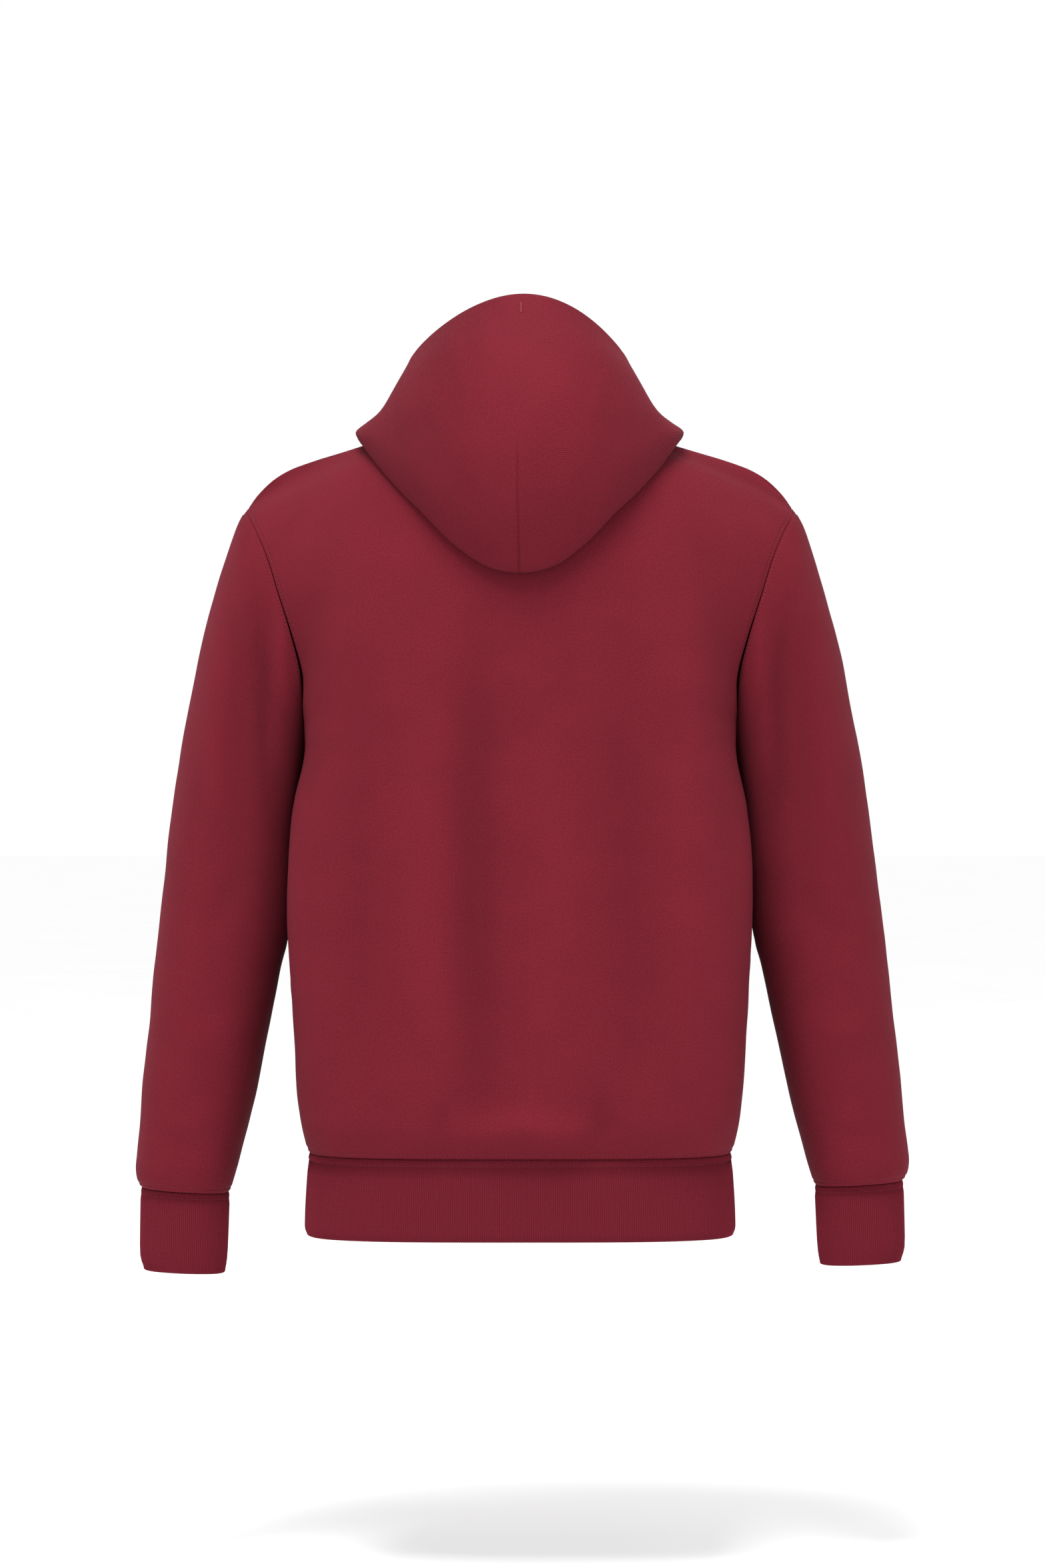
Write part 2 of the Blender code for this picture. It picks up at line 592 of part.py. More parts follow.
# ---------------------------------------------------------------- sub-assemblies
class Body:
    """Back and fronts, with the lines where hood and sleeves are set in."""

    def __init__(self):
        back, front = panel_half(front=False), panel_half(front=True)
        self.back = Sheet(np.concatenate([back[:, :0:-1], mirrored(back)], axis=1))
        self.fronts = {"left": Sheet(front), "right": Sheet(mirrored(front), turned=True)}
        self.back_middle = back.shape[1] - 1

    def column(self, side, front, k):
        """The index of a panel's column that is k columns in from its side."""
        return k if side == "left" and not front else -1 - k

    def sheet(self, side, front):
        return self.fronts[side] if front else self.back

    def close_sides(self):
        rows = slice(0, len(BODY_HEIGHTS))
        for side in HANG:
            self.join_panels(side, rows, self.column(side, False, 0), rows, self.column(side, True, 0))

    def close_shoulders(self):
        for side in HANG:
            back = [self.column(side, False, k) for k in range(SHOULDER_STEPS + 1)]
            front = [self.column(side, True, k) for k in range(SHOULDER_STEPS + 1)]
            self.join_panels(side, -1, back, -1, front)

    def join_panels(self, side, back_rows, back_columns, front_rows, front_columns):
        front = self.fronts[side]
        line = self.back.points[back_rows, back_columns].copy()
        mitre, across = shared_edge(
            line,
            self.back.normals[back_rows, back_columns],
            front.normals[front_rows, front_columns],
            np.array([0.0, -1.0, 0.0]),
        )
        self.back.normals[back_rows, back_columns] = mitre
        front.normals[front_rows, front_columns] = mitre
        self.back.points[back_rows, back_columns] = line - across * SEAM_GAP / 2
        front.points[front_rows, front_columns] = line + across * SEAM_GAP / 2

    def armhole_rows(self):
        """Rows of the panels along the armhole, underarm first."""
        first = len(BODY_HEIGHTS) - 1
        return range(first, first + len(YOKE_STEPS) + 1)

    def set_in(self, sleeve, side):
        """Join a sleeve's first ring to the armhole: outer side, back, underarm, front."""
        rows = list(self.armhole_rows())
        places = [(False, row) for row in rows[::-1]] + [(True, row) for row in rows[1:-1]]
        normals = unit(
            np.array(
                [
                    self.sheet(side, front).normals[row, self.column(side, front, 0)]
                    for front, row in places
                ]
            )
        )
        line = sleeve.points[0].copy()
        looped = np.vstack([line[-1:], line, line[:1]])
        tangents = looped[2:] - looped[:-2]
        mitre = unit(normals + sleeve.normals[0])
        stretch = 1 / np.maximum(dot(mitre, normals), MITRE_LIMIT)
        across = unit(np.cross(tangents, mitre))
        across = across * np.where(dot(across, sleeve.points[1] - line) < 0, -1, 1)
        sleeve.points[0] = line + across * SEAM_GAP / 2
        sleeve.normals[0] = mitre * stretch
        front_ends = [(len(rows) - 1, (True, rows[0])), (0, (True, rows[-1]))]
        for k, (front, row) in [*enumerate(places), *front_ends]:
            sheet, column = self.sheet(side, front), self.column(side, front, 0)
            sheet.points[row, column] -= across[k] * SEAM_GAP / 2
            sheet.normals[row, column] = mitre[k] * stretch[k]

    def neck_places(self):
        """(sheet, column) round the neckline, from the right of the zip round the back."""
        right = [(self.fronts["right"], k) for k in range(FRONT_NECK_STEPS)]
        middle = self.back_middle
        back = [(self.back, middle + k) for k in range(BACK_NECK_STEPS, -BACK_NECK_STEPS - 1, -1)]
        left = [(self.fronts["left"], k) for k in range(FRONT_NECK_STEPS - 1, -1, -1)]
        return right, back, left


class Garment:
    """The whole hoodie, sub-assembly by sub-assembly."""

    def __init__(self):
        self.knit = finish("brushed_knit", (0.235, 0.022, 0.036), 0.9)
        self.rib = finish("rib_knit", (0.20, 0.019, 0.030), 0.92)
        self.tape = finish("zip_tape", (0.16, 0.016, 0.024), 0.8)
        self.metal = finish("zip_metal", (0.30, 0.29, 0.28), 0.35, 1.0)
        self.body = Body()

    def build(self):
        hood = self.hood_sheet()
        sleeves = {side: self.sleeve_sheet(side) for side in HANG}
        self.body.close_sides()
        self.body.close_shoulders()
        for side, sleeve in sleeves.items():
            self.body.set_in(sleeve, side)
        self.set_on_hood(hood)
        self.square_edges()
        cloth_wall("back_panel", self.body.back, CLOTH, self.knit)
        for side, sheet in self.body.fronts.items():
            cloth_wall(f"front_{side}", sheet, CLOTH, self.knit)
        for side, sleeve in sleeves.items():
            cloth_wall(f"sleeve_{side}", sleeve, CLOTH, self.knit)
        cloth_wall("hood", hood, CLOTH, self.knit)
        self.build_waistband()
        for side in HANG:
            self.build_cuff(side)
        self.build_zip()

    def square_edges(self):
        """Level cuts along the waist seam and upright ones beside the zip."""
        for sheet in (self.body.back, *self.body.fronts.values()):
            sheet.points[0, :, 2] += SEAM_GAP / 2
            sheet.normals[0, :, 2] = 0
            sheet.normals[0] = unit(sheet.normals[0])
        for front in self.body.fronts.values():
            front.normals[:, 0, 0] = 0

    def sleeve_sheet(self, side):
        steps = (0.0, *YOKE_STEPS)
        ring = [armhole_point(step, False) for step in steps[::-1]]
        ring += [armhole_point(step, True) for step in steps[1:-1]]
        turns = np.arange(len(ring)) * 2 * math.pi / len(ring)
        rows = [np.array(ring)] + [ring_points(SLEEVE, s, turns) for s in SLEEVE_SECTIONS]
        points = hang(np.array(rows), HANG[side])
        sheet = Sheet(points, closed=True, turned=side == "left")
        quarter = len(ring) // 4
        end = unit(np.cross(points[-1, quarter] - points[-1, 0], points[-1, 2 * quarter] - points[-1, 0]))
        sheet.normals[-1] = unit(sheet.normals[-1] - dot(sheet.normals[-1], end) * end)
        return sheet

    def hood_sheet(self):
        right, back, left = self.body.neck_places()
        line = np.array([sheet.points[-1, column] for sheet, column in right + back + left])
        rows = np.array([hood_profile(point) for point in line]).transpose(1, 0, 2)
        return Sheet(rows, turned=True)

    def set_on_hood(self, hood):
        """Part the hood from the neckline, with one mitre along both."""
        right, back, left = self.body.neck_places()
        places = right + back + left
        line = hood.points[0].copy()
        body = unit(np.array([sheet.normals[-1, column] for sheet, column in places]))
        mitre, across = shared_edge(line, body, hood.normals[0], np.array([0.0, 0.0, 1.0]))
        hood.points[0] = line + across * SEAM_GAP / 2
        hood.normals[0] = mitre
        for k, (sheet, column) in enumerate(places):
            sheet.points[-1, column] -= across[k] * SEAM_GAP / 2
            sheet.normals[-1, column] = mitre[k]
        for k, side in ((FRONT_NECK_STEPS, "right"), (len(places) - 1 - FRONT_NECK_STEPS, "left")):
            sheet, column = self.body.fronts[side], self.body.column(side, True, SHOULDER_STEPS)
            sheet.points[-1, column] -= across[k] * SEAM_GAP / 2
            sheet.normals[-1, column] = mitre[k]

    def build_waistband(self):
        outer, inner = [], []
        columns = np.linspace(0, 1, BAND_COLUMNS + 1)
        fine = np.linspace(0, 1, BAND_COLUMNS * BAND_RIB_POINTS + 1)
        flute = np.where(np.arange(len(fine)) % 2 == 0, 0.0, -RIB_HEIGHT)
        for z in BAND.keys:
            front = from_zip(level_curve(BAND, z, front=True))
            back = level_curve(BAND, z, front=False)
            left = np.vstack([front, back[-2::-1]])
            loop = np.vstack([left, mirrored(left)[-2::-1]])
            for shares, rows, depth in ((fine, outer, flute), (columns, inner, -RIB_CLOTH)):
                points = along(loop, shares)
                tangent = unit(np.gradient(points, axis=0))
                normal = np.stack([tangent[:, 1], -tangent[:, 0], 0 * tangent[:, 0]], axis=1)
                normal[[0, -1]] = (0, -1, 0)
                rows.append(points + normal * np.reshape(depth, (-1, 1)))
        ribbed_wall("waistband", np.array(outer), np.array(inner), False, self.rib)

    def build_cuff(self, side):
        outer, inner = [], []
        fine = CUFF_COLUMNS * CUFF_RIB_POINTS
        flute = np.where(np.arange(fine) % 2 == 0, 0.0, -RIB_HEIGHT)
        plain = np.full(CUFF_COLUMNS, -RIB_CLOTH)
        for section in (0, 1, 2):
            middle = sleeve_ring(CUFF, section)[0]
            for count, rows, depth in ((fine, outer, flute), (CUFF_COLUMNS, inner, plain)):
                turns = np.arange(count) * 2 * math.pi / count
                points = ring_points(CUFF, section, turns)
                ways = unit(points - middle)
                rows.append(hang(points + ways * depth[:, None], HANG[side]))
        ribbed_wall(
            f"cuff_{side}", np.array(outer), np.array(inner), True, self.rib, turned=side == "left"
        )

    # ------------------------------------------------------------ zip
    def zip_grid(self, xs):
        """Points of the left front's outer face near the zip, and their normals, foot first."""
        rows = []
        for z in (ZIP_FOOT_Z, BAND.keys[1]):
            curve = from_zip(level_curve(BAND, z, front=True))
            rows.append([[x, np.interp(x, curve[:, 0], curve[:, 1]), z] for x in xs])
        ways = np.tile([0.0, -1.0, 0.0], (len(rows), len(xs), 1))
        front = self.body.fronts["left"]
        edge, next_in = front.points[:, 0], front.points[:, 1]
        shares = (np.array(xs) - edge[:, :1]) / (next_in - edge)[:, :1]
        shares = shares.clip(0)[..., None]
        points = edge[:, None] + (next_in - edge)[:, None] * shares
        points[..., 0] = xs
        normals = front.normals[:, :1] * (1 - shares) + front.normals[:, 1:2] * shares
        return np.concatenate([rows, points]), np.concatenate([ways, normals])

    def zip_place(self, z):
        """A frame on the zip at one height: X across, Y into the body, Z up along the zip."""
        points, normals = self.zip_grid([0.0])
        line, ways = points[:, 0], normals[:, 0]
        point = Vector([np.interp(z, line[:, 2], c) for c in line.T])
        inwards = -Vector([np.interp(z, line[:, 2], c) for c in ways.T]).normalized()
        across = Vector((1, 0, 0))
        axes = Matrix((across, inwards, across.cross(inwards))).transposed()
        return Matrix.Translation(point) @ axes.to_4x4()

    def zip_strip(self, name, xs, set_back, thick, ends, material):
        """A band that lies along the zip between two heights, set back from the cloth's face."""
        points, normals = self.zip_grid(xs)
        heights = points[:, 0, 2]
        kept = [z for z in heights if ends[0] + STRIP_END < z < ends[1] - STRIP_END]
        places = np.interp([ends[0], *kept, ends[1]], heights, np.arange(len(heights)))
        rows = np.minimum(places.astype(int), len(heights) - 2)
        share = (places - rows)[:, None, None]
        grid = points[rows] * (1 - share) + points[rows + 1] * share
        ways = normals[rows] * (1 - share) + normals[rows + 1] * share
        sheet = Sheet(grid - ways * set_back)
        sheet.normals = ways
        return cloth_wall(name, sheet, thick, material)

    def build_zip(self):
        top = self.body.fronts["left"].points[-1, 0, 2] - TAPE_TOP_DROP
        tape = [TAPE_INNER_X, ZIP_EDGE_X, TAPE_OUTER_X]
        ends = (ZIP_FOOT_Z, top)
        left = self.zip_strip("zip_tape_left", tape, TAPE_SET_BACK, TAPE_CLOTH, ends, self.tape)
        mirror_of(left, "zip_tape_right")
        self.zip_strip(
            "zip_chain",
            (-CHAIN_HALF_WIDTH, CHAIN_HALF_WIDTH),
            CHAIN_SET_BACK,
            CHAIN_THICK,
            (BOX_TOP_Z + SEAM_GAP, SLIDER_Z),
            self.metal,
        )
        half = (BOX_TOP_Z - ZIP_FOOT_Z) / 2
        place = self.zip_place(ZIP_FOOT_Z + half)
        low = (-CHAIN_HALF_WIDTH, CHAIN_SET_BACK - BOX_PROUD, -half)
        high = (CHAIN_HALF_WIDTH, CHAIN_SET_BACK + CHAIN_THICK + BOX_PROUD, half)
        make_object("zip_box", bevelled(box_in(place, low, high), BOX_BEVEL), self.metal)
        self.build_slider()

    def build_slider(self):
        """Two plates joined by a post above the chain, with ears and a pin in front."""
        place = self.zip_place(SLIDER_Z)
        half, wide = SLIDER_LENGTH / 2, SLIDER_HALF_WIDTH
        front = CHAIN_SET_BACK - SEAM_GAP
        back = CHAIN_SET_BACK + CHAIN_THICK + SEAM_GAP
        face, bite = front - PLATE_THICK, PLATE_THICK / 2
        plate = box_in(place, (-wide, face, -half), (wide, front, half))
        slider = make_object("zip_slider", bevelled(plate, PLATE_BEVEL), self.metal)
        rear = box_in(place, (-wide, back, -half), (wide, back + PLATE_THICK, half))
        combine(slider, bevelled(rear, PLATE_BEVEL), "UNION")
        low = (-POST_HALF_WIDTH, front - bite, SEAM_GAP * 2)
        high = (POST_HALF_WIDTH, back + bite, half - POST_HALF_WIDTH)
        combine(slider, box_in(place, low, high), "UNION")
        eye_radius = PIN_RADIUS + PIN_CLEARANCE + EYE_WALL
        pin_out = face - eye_radius - PIN_CLEARANCE
        ear_in = EYE_HALF_LENGTH + PIN_CLEARANCE
        for sign in (-1, 1):
            inner, outer = sorted((sign * ear_in, sign * (ear_in + EAR_THICK)))
            low = (inner, pin_out - EAR_HALF_HEIGHT, -EAR_HALF_HEIGHT)
            combine(slider, box_in(place, low, (outer, face + bite, EAR_HALF_HEIGHT)), "UNION")
        pin = place @ Matrix.Translation((0, pin_out, 0))
        combine(slider, rod_in(pin, PIN_RADIUS, ear_in + EAR_THICK / 2), "UNION")
        self.build_pull(pin, eye_radius)

    def build_pull(self, pin, eye_radius):
        """An eye round the slider's pin and a tab that hangs from it down the front."""
        hinge = bpy.data.objects.new("zip_pull_hinge", None)
        hinge.location = pin.translation
        bpy.context.scene.collection.objects.link(hinge)
        lean = Matrix.Rotation(-PULL_LEAN, 4, "X")
        shape = rod_in(Matrix.Identity(4), eye_radius, EYE_HALF_LENGTH)
        pull = make_object("zip_pull", shape, self.metal)
        neck_half, neck_thick = EYE_HALF_LENGTH * PULL_NECK_WIDE, PULL_THICK * PULL_NECK_THICK
        neck = box_in(
            lean,
            (-neck_half, -neck_thick, -PULL_LENGTH * PULL_NECK_END),
            (neck_half, neck_thick, -PIN_RADIUS - PIN_CLEARANCE - EYE_WALL / 2),
        )
        combine(pull, neck, "UNION")
        tab = box_in(
            lean,
            (-PULL_WIDTH / 2, -PULL_THICK / 2, -PULL_LENGTH),
            (PULL_WIDTH / 2, PULL_THICK / 2, -PULL_LENGTH * PULL_TAB_START),
        )
        combine(pull, bevelled(tab, PULL_BEVEL), "UNION")
        hole = rod_in(Matrix.Identity(4), PIN_RADIUS + PIN_CLEARANCE, 2 * EYE_HALF_LENGTH)
        combine(pull, hole, "DIFFERENCE")
        for obj in [pull] + [m.object for m in pull.modifiers]:
            obj.parent = hinge


def main():
    for obj in list(bpy.data.objects):
        bpy.data.objects.remove(obj, do_unlink=True)
    Garment().build()


main()
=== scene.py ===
"""Zip-up hoodie: knit cloth, ribs, seams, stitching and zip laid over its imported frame.

Metres. +Z is up, the front faces -Y and +X is the wearer's left. Every cloth piece is a fine grid
laid on the outer face of its solid, with folds moved along its normals and a thin shell behind it.
"""

import logging
import math
from collections.abc import Sequence
from dataclasses import dataclass, field
from enum import Enum
from types import SimpleNamespace

import bmesh
import bpy
import numpy as np
from mathutils import Matrix, Vector, noise


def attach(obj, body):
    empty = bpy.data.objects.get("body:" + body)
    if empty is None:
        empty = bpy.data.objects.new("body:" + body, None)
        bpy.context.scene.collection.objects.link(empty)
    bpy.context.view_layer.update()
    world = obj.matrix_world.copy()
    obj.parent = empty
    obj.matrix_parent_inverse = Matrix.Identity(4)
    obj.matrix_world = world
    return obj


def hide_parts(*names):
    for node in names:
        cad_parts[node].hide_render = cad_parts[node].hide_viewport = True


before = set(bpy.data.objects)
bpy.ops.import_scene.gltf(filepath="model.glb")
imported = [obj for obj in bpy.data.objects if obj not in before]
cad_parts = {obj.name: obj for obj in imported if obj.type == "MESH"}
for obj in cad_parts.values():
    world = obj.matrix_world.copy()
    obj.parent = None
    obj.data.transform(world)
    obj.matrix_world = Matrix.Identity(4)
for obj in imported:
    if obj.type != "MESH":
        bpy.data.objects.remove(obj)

log = logging.getLogger("hoodie")

GARMENT = "garment"

Material = bpy.types.Material
Socket = bpy.types.NodeSocket
Triple = tuple[float, float, float]

MIRROR = np.array([-1, 1, 1])


# ---------------------------------------------------------------- sides and tables
class Side(Enum):
    """The wearer's sides, each with its sign along X."""

    LEFT = 1
    RIGHT = -1

    @property
    def label(self) -> str:
        """The side's word in a node's name."""
        return self.name.lower()


@dataclass(frozen=True)
class Hang:
    """How an arm hangs: how far its wrist is lowered and moved outwards."""

    lower: float
    outwards: float


HANG = {Side.LEFT: Hang(0.0030, -0.0016), Side.RIGHT: Hang(-0.0030, 0.0018)}


def between(
    ends: Sequence[np.ndarray],
    slopes: Sequence[np.ndarray],
    span: float | np.ndarray,
    t: float | np.ndarray,
) -> np.ndarray:
    """Read a smooth curve between two of its keys.

    Args:
        ends: Its values at the two keys.
        slopes: Its slopes there.
        span: How far apart the keys are.
        t: Where to read, 0 at the first key and 1 at the second.

    Returns:
        The value there.
    """
    return (
        ends[0] * (1 + 2 * t) * (1 - t) ** 2
        + ends[1] * t * t * (3 - 2 * t)
        + slopes[0] * span * t * (1 - t) ** 2
        + slopes[1] * span * t * t * (t - 1)
    )


class Table:
    """Rows of named columns, read between rows along a curve that never overshoots them."""

    def __init__(self, columns: str, rows: Sequence[Sequence[float]]) -> None:
        """Fit the curve.

        Args:
            columns: Names of the columns, the key's first.
            rows: One row per key, in rising order of the key.
        """
        self.columns = columns.split()[1:]
        table = np.array(rows, float)
        self.keys, self.rows = table[:, 0], table[:, 1:]
        self.spans = np.diff(self.keys)
        slopes = np.diff(self.rows, axis=0) / self.spans[:, None]
        limit = 3 * np.minimum(abs(slopes[1:]), abs(slopes[:-1]))
        inner = np.clip((slopes[1:] + slopes[:-1]) / 2, -limit, limit)
        inner = np.where(slopes[1:] * slopes[:-1] <= 0, 0, inner)
        self.slopes = np.vstack([slopes[:1], inner, slopes[-1:]])

    def values(self, key: float) -> np.ndarray:
        """The columns at one key.

        Args:
            key: Where to read, held within the table's ends.

        Returns:
            One number per column.
        """
        key = float(np.clip(key, self.keys[0], self.keys[-1]))
        row = int(np.clip(np.searchsorted(self.keys, key) - 1, 0, len(self.spans) - 1))
        span = self.spans[row]
        t = (key - self.keys[row]) / span
        return between(self.rows[row : row + 2], self.slopes[row : row + 2], span, t)

    def at(self, key: float) -> SimpleNamespace:
        """The columns at one key, by name."""
        return SimpleNamespace(**dict(zip(self.columns, self.values(key))))


# Level sections of the body, from the waist seam up to the underarm.
BODY = Table(
    "z half_width back front back_square front_square",
    [
        (-0.593, 0.1778, 0.1120, 0.1060, 3.6, 3.0),
        (-0.583, 0.1803, 0.1190, 0.1105, 4.0, 3.1),
        (-0.572, 0.1824, 0.1235, 0.1130, 4.4, 3.1),
        (-0.550, 0.1854, 0.1270, 0.1160, 4.8, 3.2),
        (-0.500, 0.1888, 0.1300, 0.1195, 5.2, 3.2),
        (-0.400, 0.1916, 0.1340, 0.1240, 5.2, 3.2),
        (-0.330, 0.1885, 0.1360, 0.1255, 5.0, 3.2),
        (-0.285, 0.1835, 0.1370, 0.1255, 4.8, 3.1),
        (-0.250, 0.1785, 0.1370, 0.1250, 4.6, 3.0),
    ],
)

# Level sections of the rib waistband, bottom edge first.
BAND = Table(
    "z half_width back front back_square front_square",
    [
        (-0.6600, 0.1796, 0.1115, 0.1050, 3.6, 3.0),
        (-0.6550, 0.1812, 0.1130, 0.1066, 3.6, 3.0),
        (-0.5933, 0.1780, 0.1118, 0.1058, 3.6, 3.0),
    ],
)

# How far out the armhole seam lies at each height.
ARMHOLE = Table(
    "z x",
    [
        (-0.250, 0.1785),
        (-0.225, 0.1800),
        (-0.186, 0.1828),
        (-0.167, 0.1880),
        (-0.142, 0.1960),
        (-0.120, 0.2030),
        (-0.086, 0.2146),
        (-0.0532, 0.2315),
    ],
)

# Sections across the sleeve: outermost and innermost points, and the middle and half of its depth.
SLEEVE = Table(
    "section outer_x outer_z inner_x inner_z middle_y half_depth square",
    [
        (1, 0.2402, -0.0702, 0.1818, -0.2620, -0.004, 0.0715, 2.2),
        (2, 0.2489, -0.0972, 0.1858, -0.2760, -0.006, 0.0745, 2.3),
        (3, 0.2567, -0.1242, 0.1892, -0.2920, -0.008, 0.0770, 2.4),
        (4, 0.2683, -0.1680, 0.1922, -0.3140, -0.011, 0.0785, 2.5),
        (5, 0.2778, -0.2129, 0.1942, -0.3370, -0.014, 0.0780, 2.5),
        (6, 0.2865, -0.2579, 0.1950, -0.3600, -0.016, 0.0765, 2.5),
        (7, 0.2935, -0.3028, 0.1957, -0.3850, -0.018, 0.0740, 2.4),
        (8, 0.3025, -0.3702, 0.1990, -0.4200, -0.021, 0.0695, 2.3),
        (9, 0.3079, -0.4152, 0.2059, -0.4489, -0.023, 0.0655, 2.3),
        (10, 0.3154, -0.4826, 0.2170, -0.5010, -0.026, 0.0600, 2.3),
        (11, 0.3202, -0.5275, 0.2240, -0.5350, -0.028, 0.0560, 2.3),
        (12, 0.3244, -0.5725, 0.2325, -0.5700, -0.030, 0.0520, 2.3),
        (13, 0.3272, -0.5950, 0.2385, -0.5920, -0.031, 0.0495, 2.3),
        (14, 0.3281, -0.6062, 0.2421, -0.6065, -0.031, 0.0475, 2.3),
        (15, 0.3270, -0.6150, 0.2452, -0.6175, -0.031, 0.0445, 2.2),
        (16, 0.3240, -0.6228, 0.2480, -0.6272, -0.031, 0.0400, 2.2),
    ],
)

# The same for the cuff, from its seam down to its folded edge.
CUFF = Table(
    "section outer_x outer_z inner_x inner_z middle_y half_depth square",
    [
        (0, 0.3238, -0.6231, 0.2482, -0.6275, -0.031, 0.0365, 2.2),
        (1, 0.3247, -0.6736, 0.2503, -0.6770, -0.031, 0.0360, 2.2),
        (2, 0.3215, -0.6905, 0.2525, -0.6935, -0.031, 0.0335, 2.2),
    ],
)

# Upright sections of the hood, by the angle round the neck from centre back.
HOOD = Table(
    "angle crown_out crown_up under_out under_up fold_reach fold_z "
    "ridge_reach ridge_z rim_reach rim_z bulge",
    [
        (0, 0.016, 0.016, 0.018, 0.010, 0.1560, -0.1125, 0.1880, -0.012, 0.1050, 0.1215, 0.012),
        (14, 0.016, 0.016, 0.018, 0.010, 0.1555, -0.1030, 0.1840, -0.010, 0.1090, 0.1172, 0.012),
        (29, 0.015, 0.016, 0.017, 0.010, 0.1545, -0.0675, 0.1730, -0.004, 0.1140, 0.1030, 0.010),
        (46, 0.013, 0.015, 0.014, 0.010, 0.1500, -0.0320, 0.1590, 0.003, 0.1165, 0.0795, 0.003),
        (60, 0.011, 0.014, 0.010, 0.009, 0.1440, -0.0090, 0.1510, 0.008, 0.1085, 0.0590, -0.002),
        (78, 0.009, 0.013, 0.006, 0.008, 0.1350, 0.0035, 0.1410, 0.012, 0.1010, 0.0450, -0.003),
        (99, 0.008, 0.012, 0.005, 0.006, 0.1260, 0.0005, 0.1335, 0.011, 0.0950, 0.0300, -0.003),
        (121, 0.007, 0.011, 0.004, 0.005, 0.1185, -0.0190, 0.1260, -0.008, 0.0935, 0.0080, 0.001),
        (143, 0.006, 0.009, 0.003, 0.003, 0.1120, -0.0490, 0.1190, -0.037, 0.0955, -0.0170, 0.002),
        (162, 0.004, 0.006, 0.001, 0.002, 0.1090, -0.0700, 0.1150, -0.059, 0.1010, -0.0360, 0.002),
        (176, 0.002, 0.003, 0.000, 0.001, 0.1040, -0.0750, 0.1080, -0.064, 0.1060, -0.0440, 0.000),
    ],
)

# How far the hood leans to one side at each height.
HOOD_LEAN = Table("z sideways", [(-0.110, 0.0), (-0.020, 0.0012), (0.070, 0.0012), (0.127, -0.0035)])


# ---------------------------------------------------------------- vectors and curves
def unit(vectors: np.ndarray) -> np.ndarray:
    """Give vectors a length of one."""
    return vectors / np.maximum(np.linalg.norm(vectors, axis=-1, keepdims=True), 1e-12)


def travelled(curve: np.ndarray) -> np.ndarray:
    """Measure along a polyline."""
    steps = np.linalg.norm(np.diff(curve, axis=0), axis=1)
    return np.concatenate([[0.0], np.cumsum(steps)])


def along(curve: np.ndarray, shares: np.ndarray) -> np.ndarray:
    """Pick points on a polyline.

    Args:
        curve: Points of the line.
        shares: Where to read, as shares of its length.

    Returns:
        One point per share.
    """
    distance = travelled(curve)
    wanted = np.asarray(shares) * distance[-1]
    return np.stack([np.interp(wanted, distance, c) for c in curve.T], axis=1)


def smooth_curve(controls: Sequence[np.ndarray], count: int) -> np.ndarray:
    """Round a flat curve through control points.

    Args:
        controls: The points it passes through.
        count: How many points to return.

    Returns:
        Points along the curve.
    """
    points = np.array(controls)
    steps = np.linalg.norm(np.diff(points, axis=0), axis=1) ** 0.5
    knots = np.concatenate([[0], np.cumsum(steps)])
    table = Table("knot reach height", np.column_stack([knots, points]))
    return np.array([table.values(knot) for knot in np.linspace(0, knots[-1], count)])


def smooth_read(grid: np.ndarray, keys: np.ndarray, wanted: np.ndarray) -> np.ndarray:
    """Read rows of control values smoothly between them, along the first axis.

    Args:
        grid: Control values, one set for each key.
        keys: Where along the curve each control lies, rising.
        wanted: Where to read.

    Returns:
        The values there.
    """
    slopes = np.gradient(grid, keys, axis=0)
    row = np.clip(np.searchsorted(keys, wanted, side="right") - 1, 0, len(keys) - 2)
    shape = (-1, *([1] * (grid.ndim - 1)))
    span = (keys[row + 1] - keys[row]).reshape(shape)
    t = (wanted - keys[row]).reshape(shape) / span
    return between((grid[row], grid[row + 1]), (slopes[row], slopes[row + 1]), span, t)


# ---------------------------------------------------------------- the garment's lines
@dataclass(frozen=True)
class Neckline:
    """One half of the neckline, seen from the side."""

    depth: float
    drop: float
    curve: float


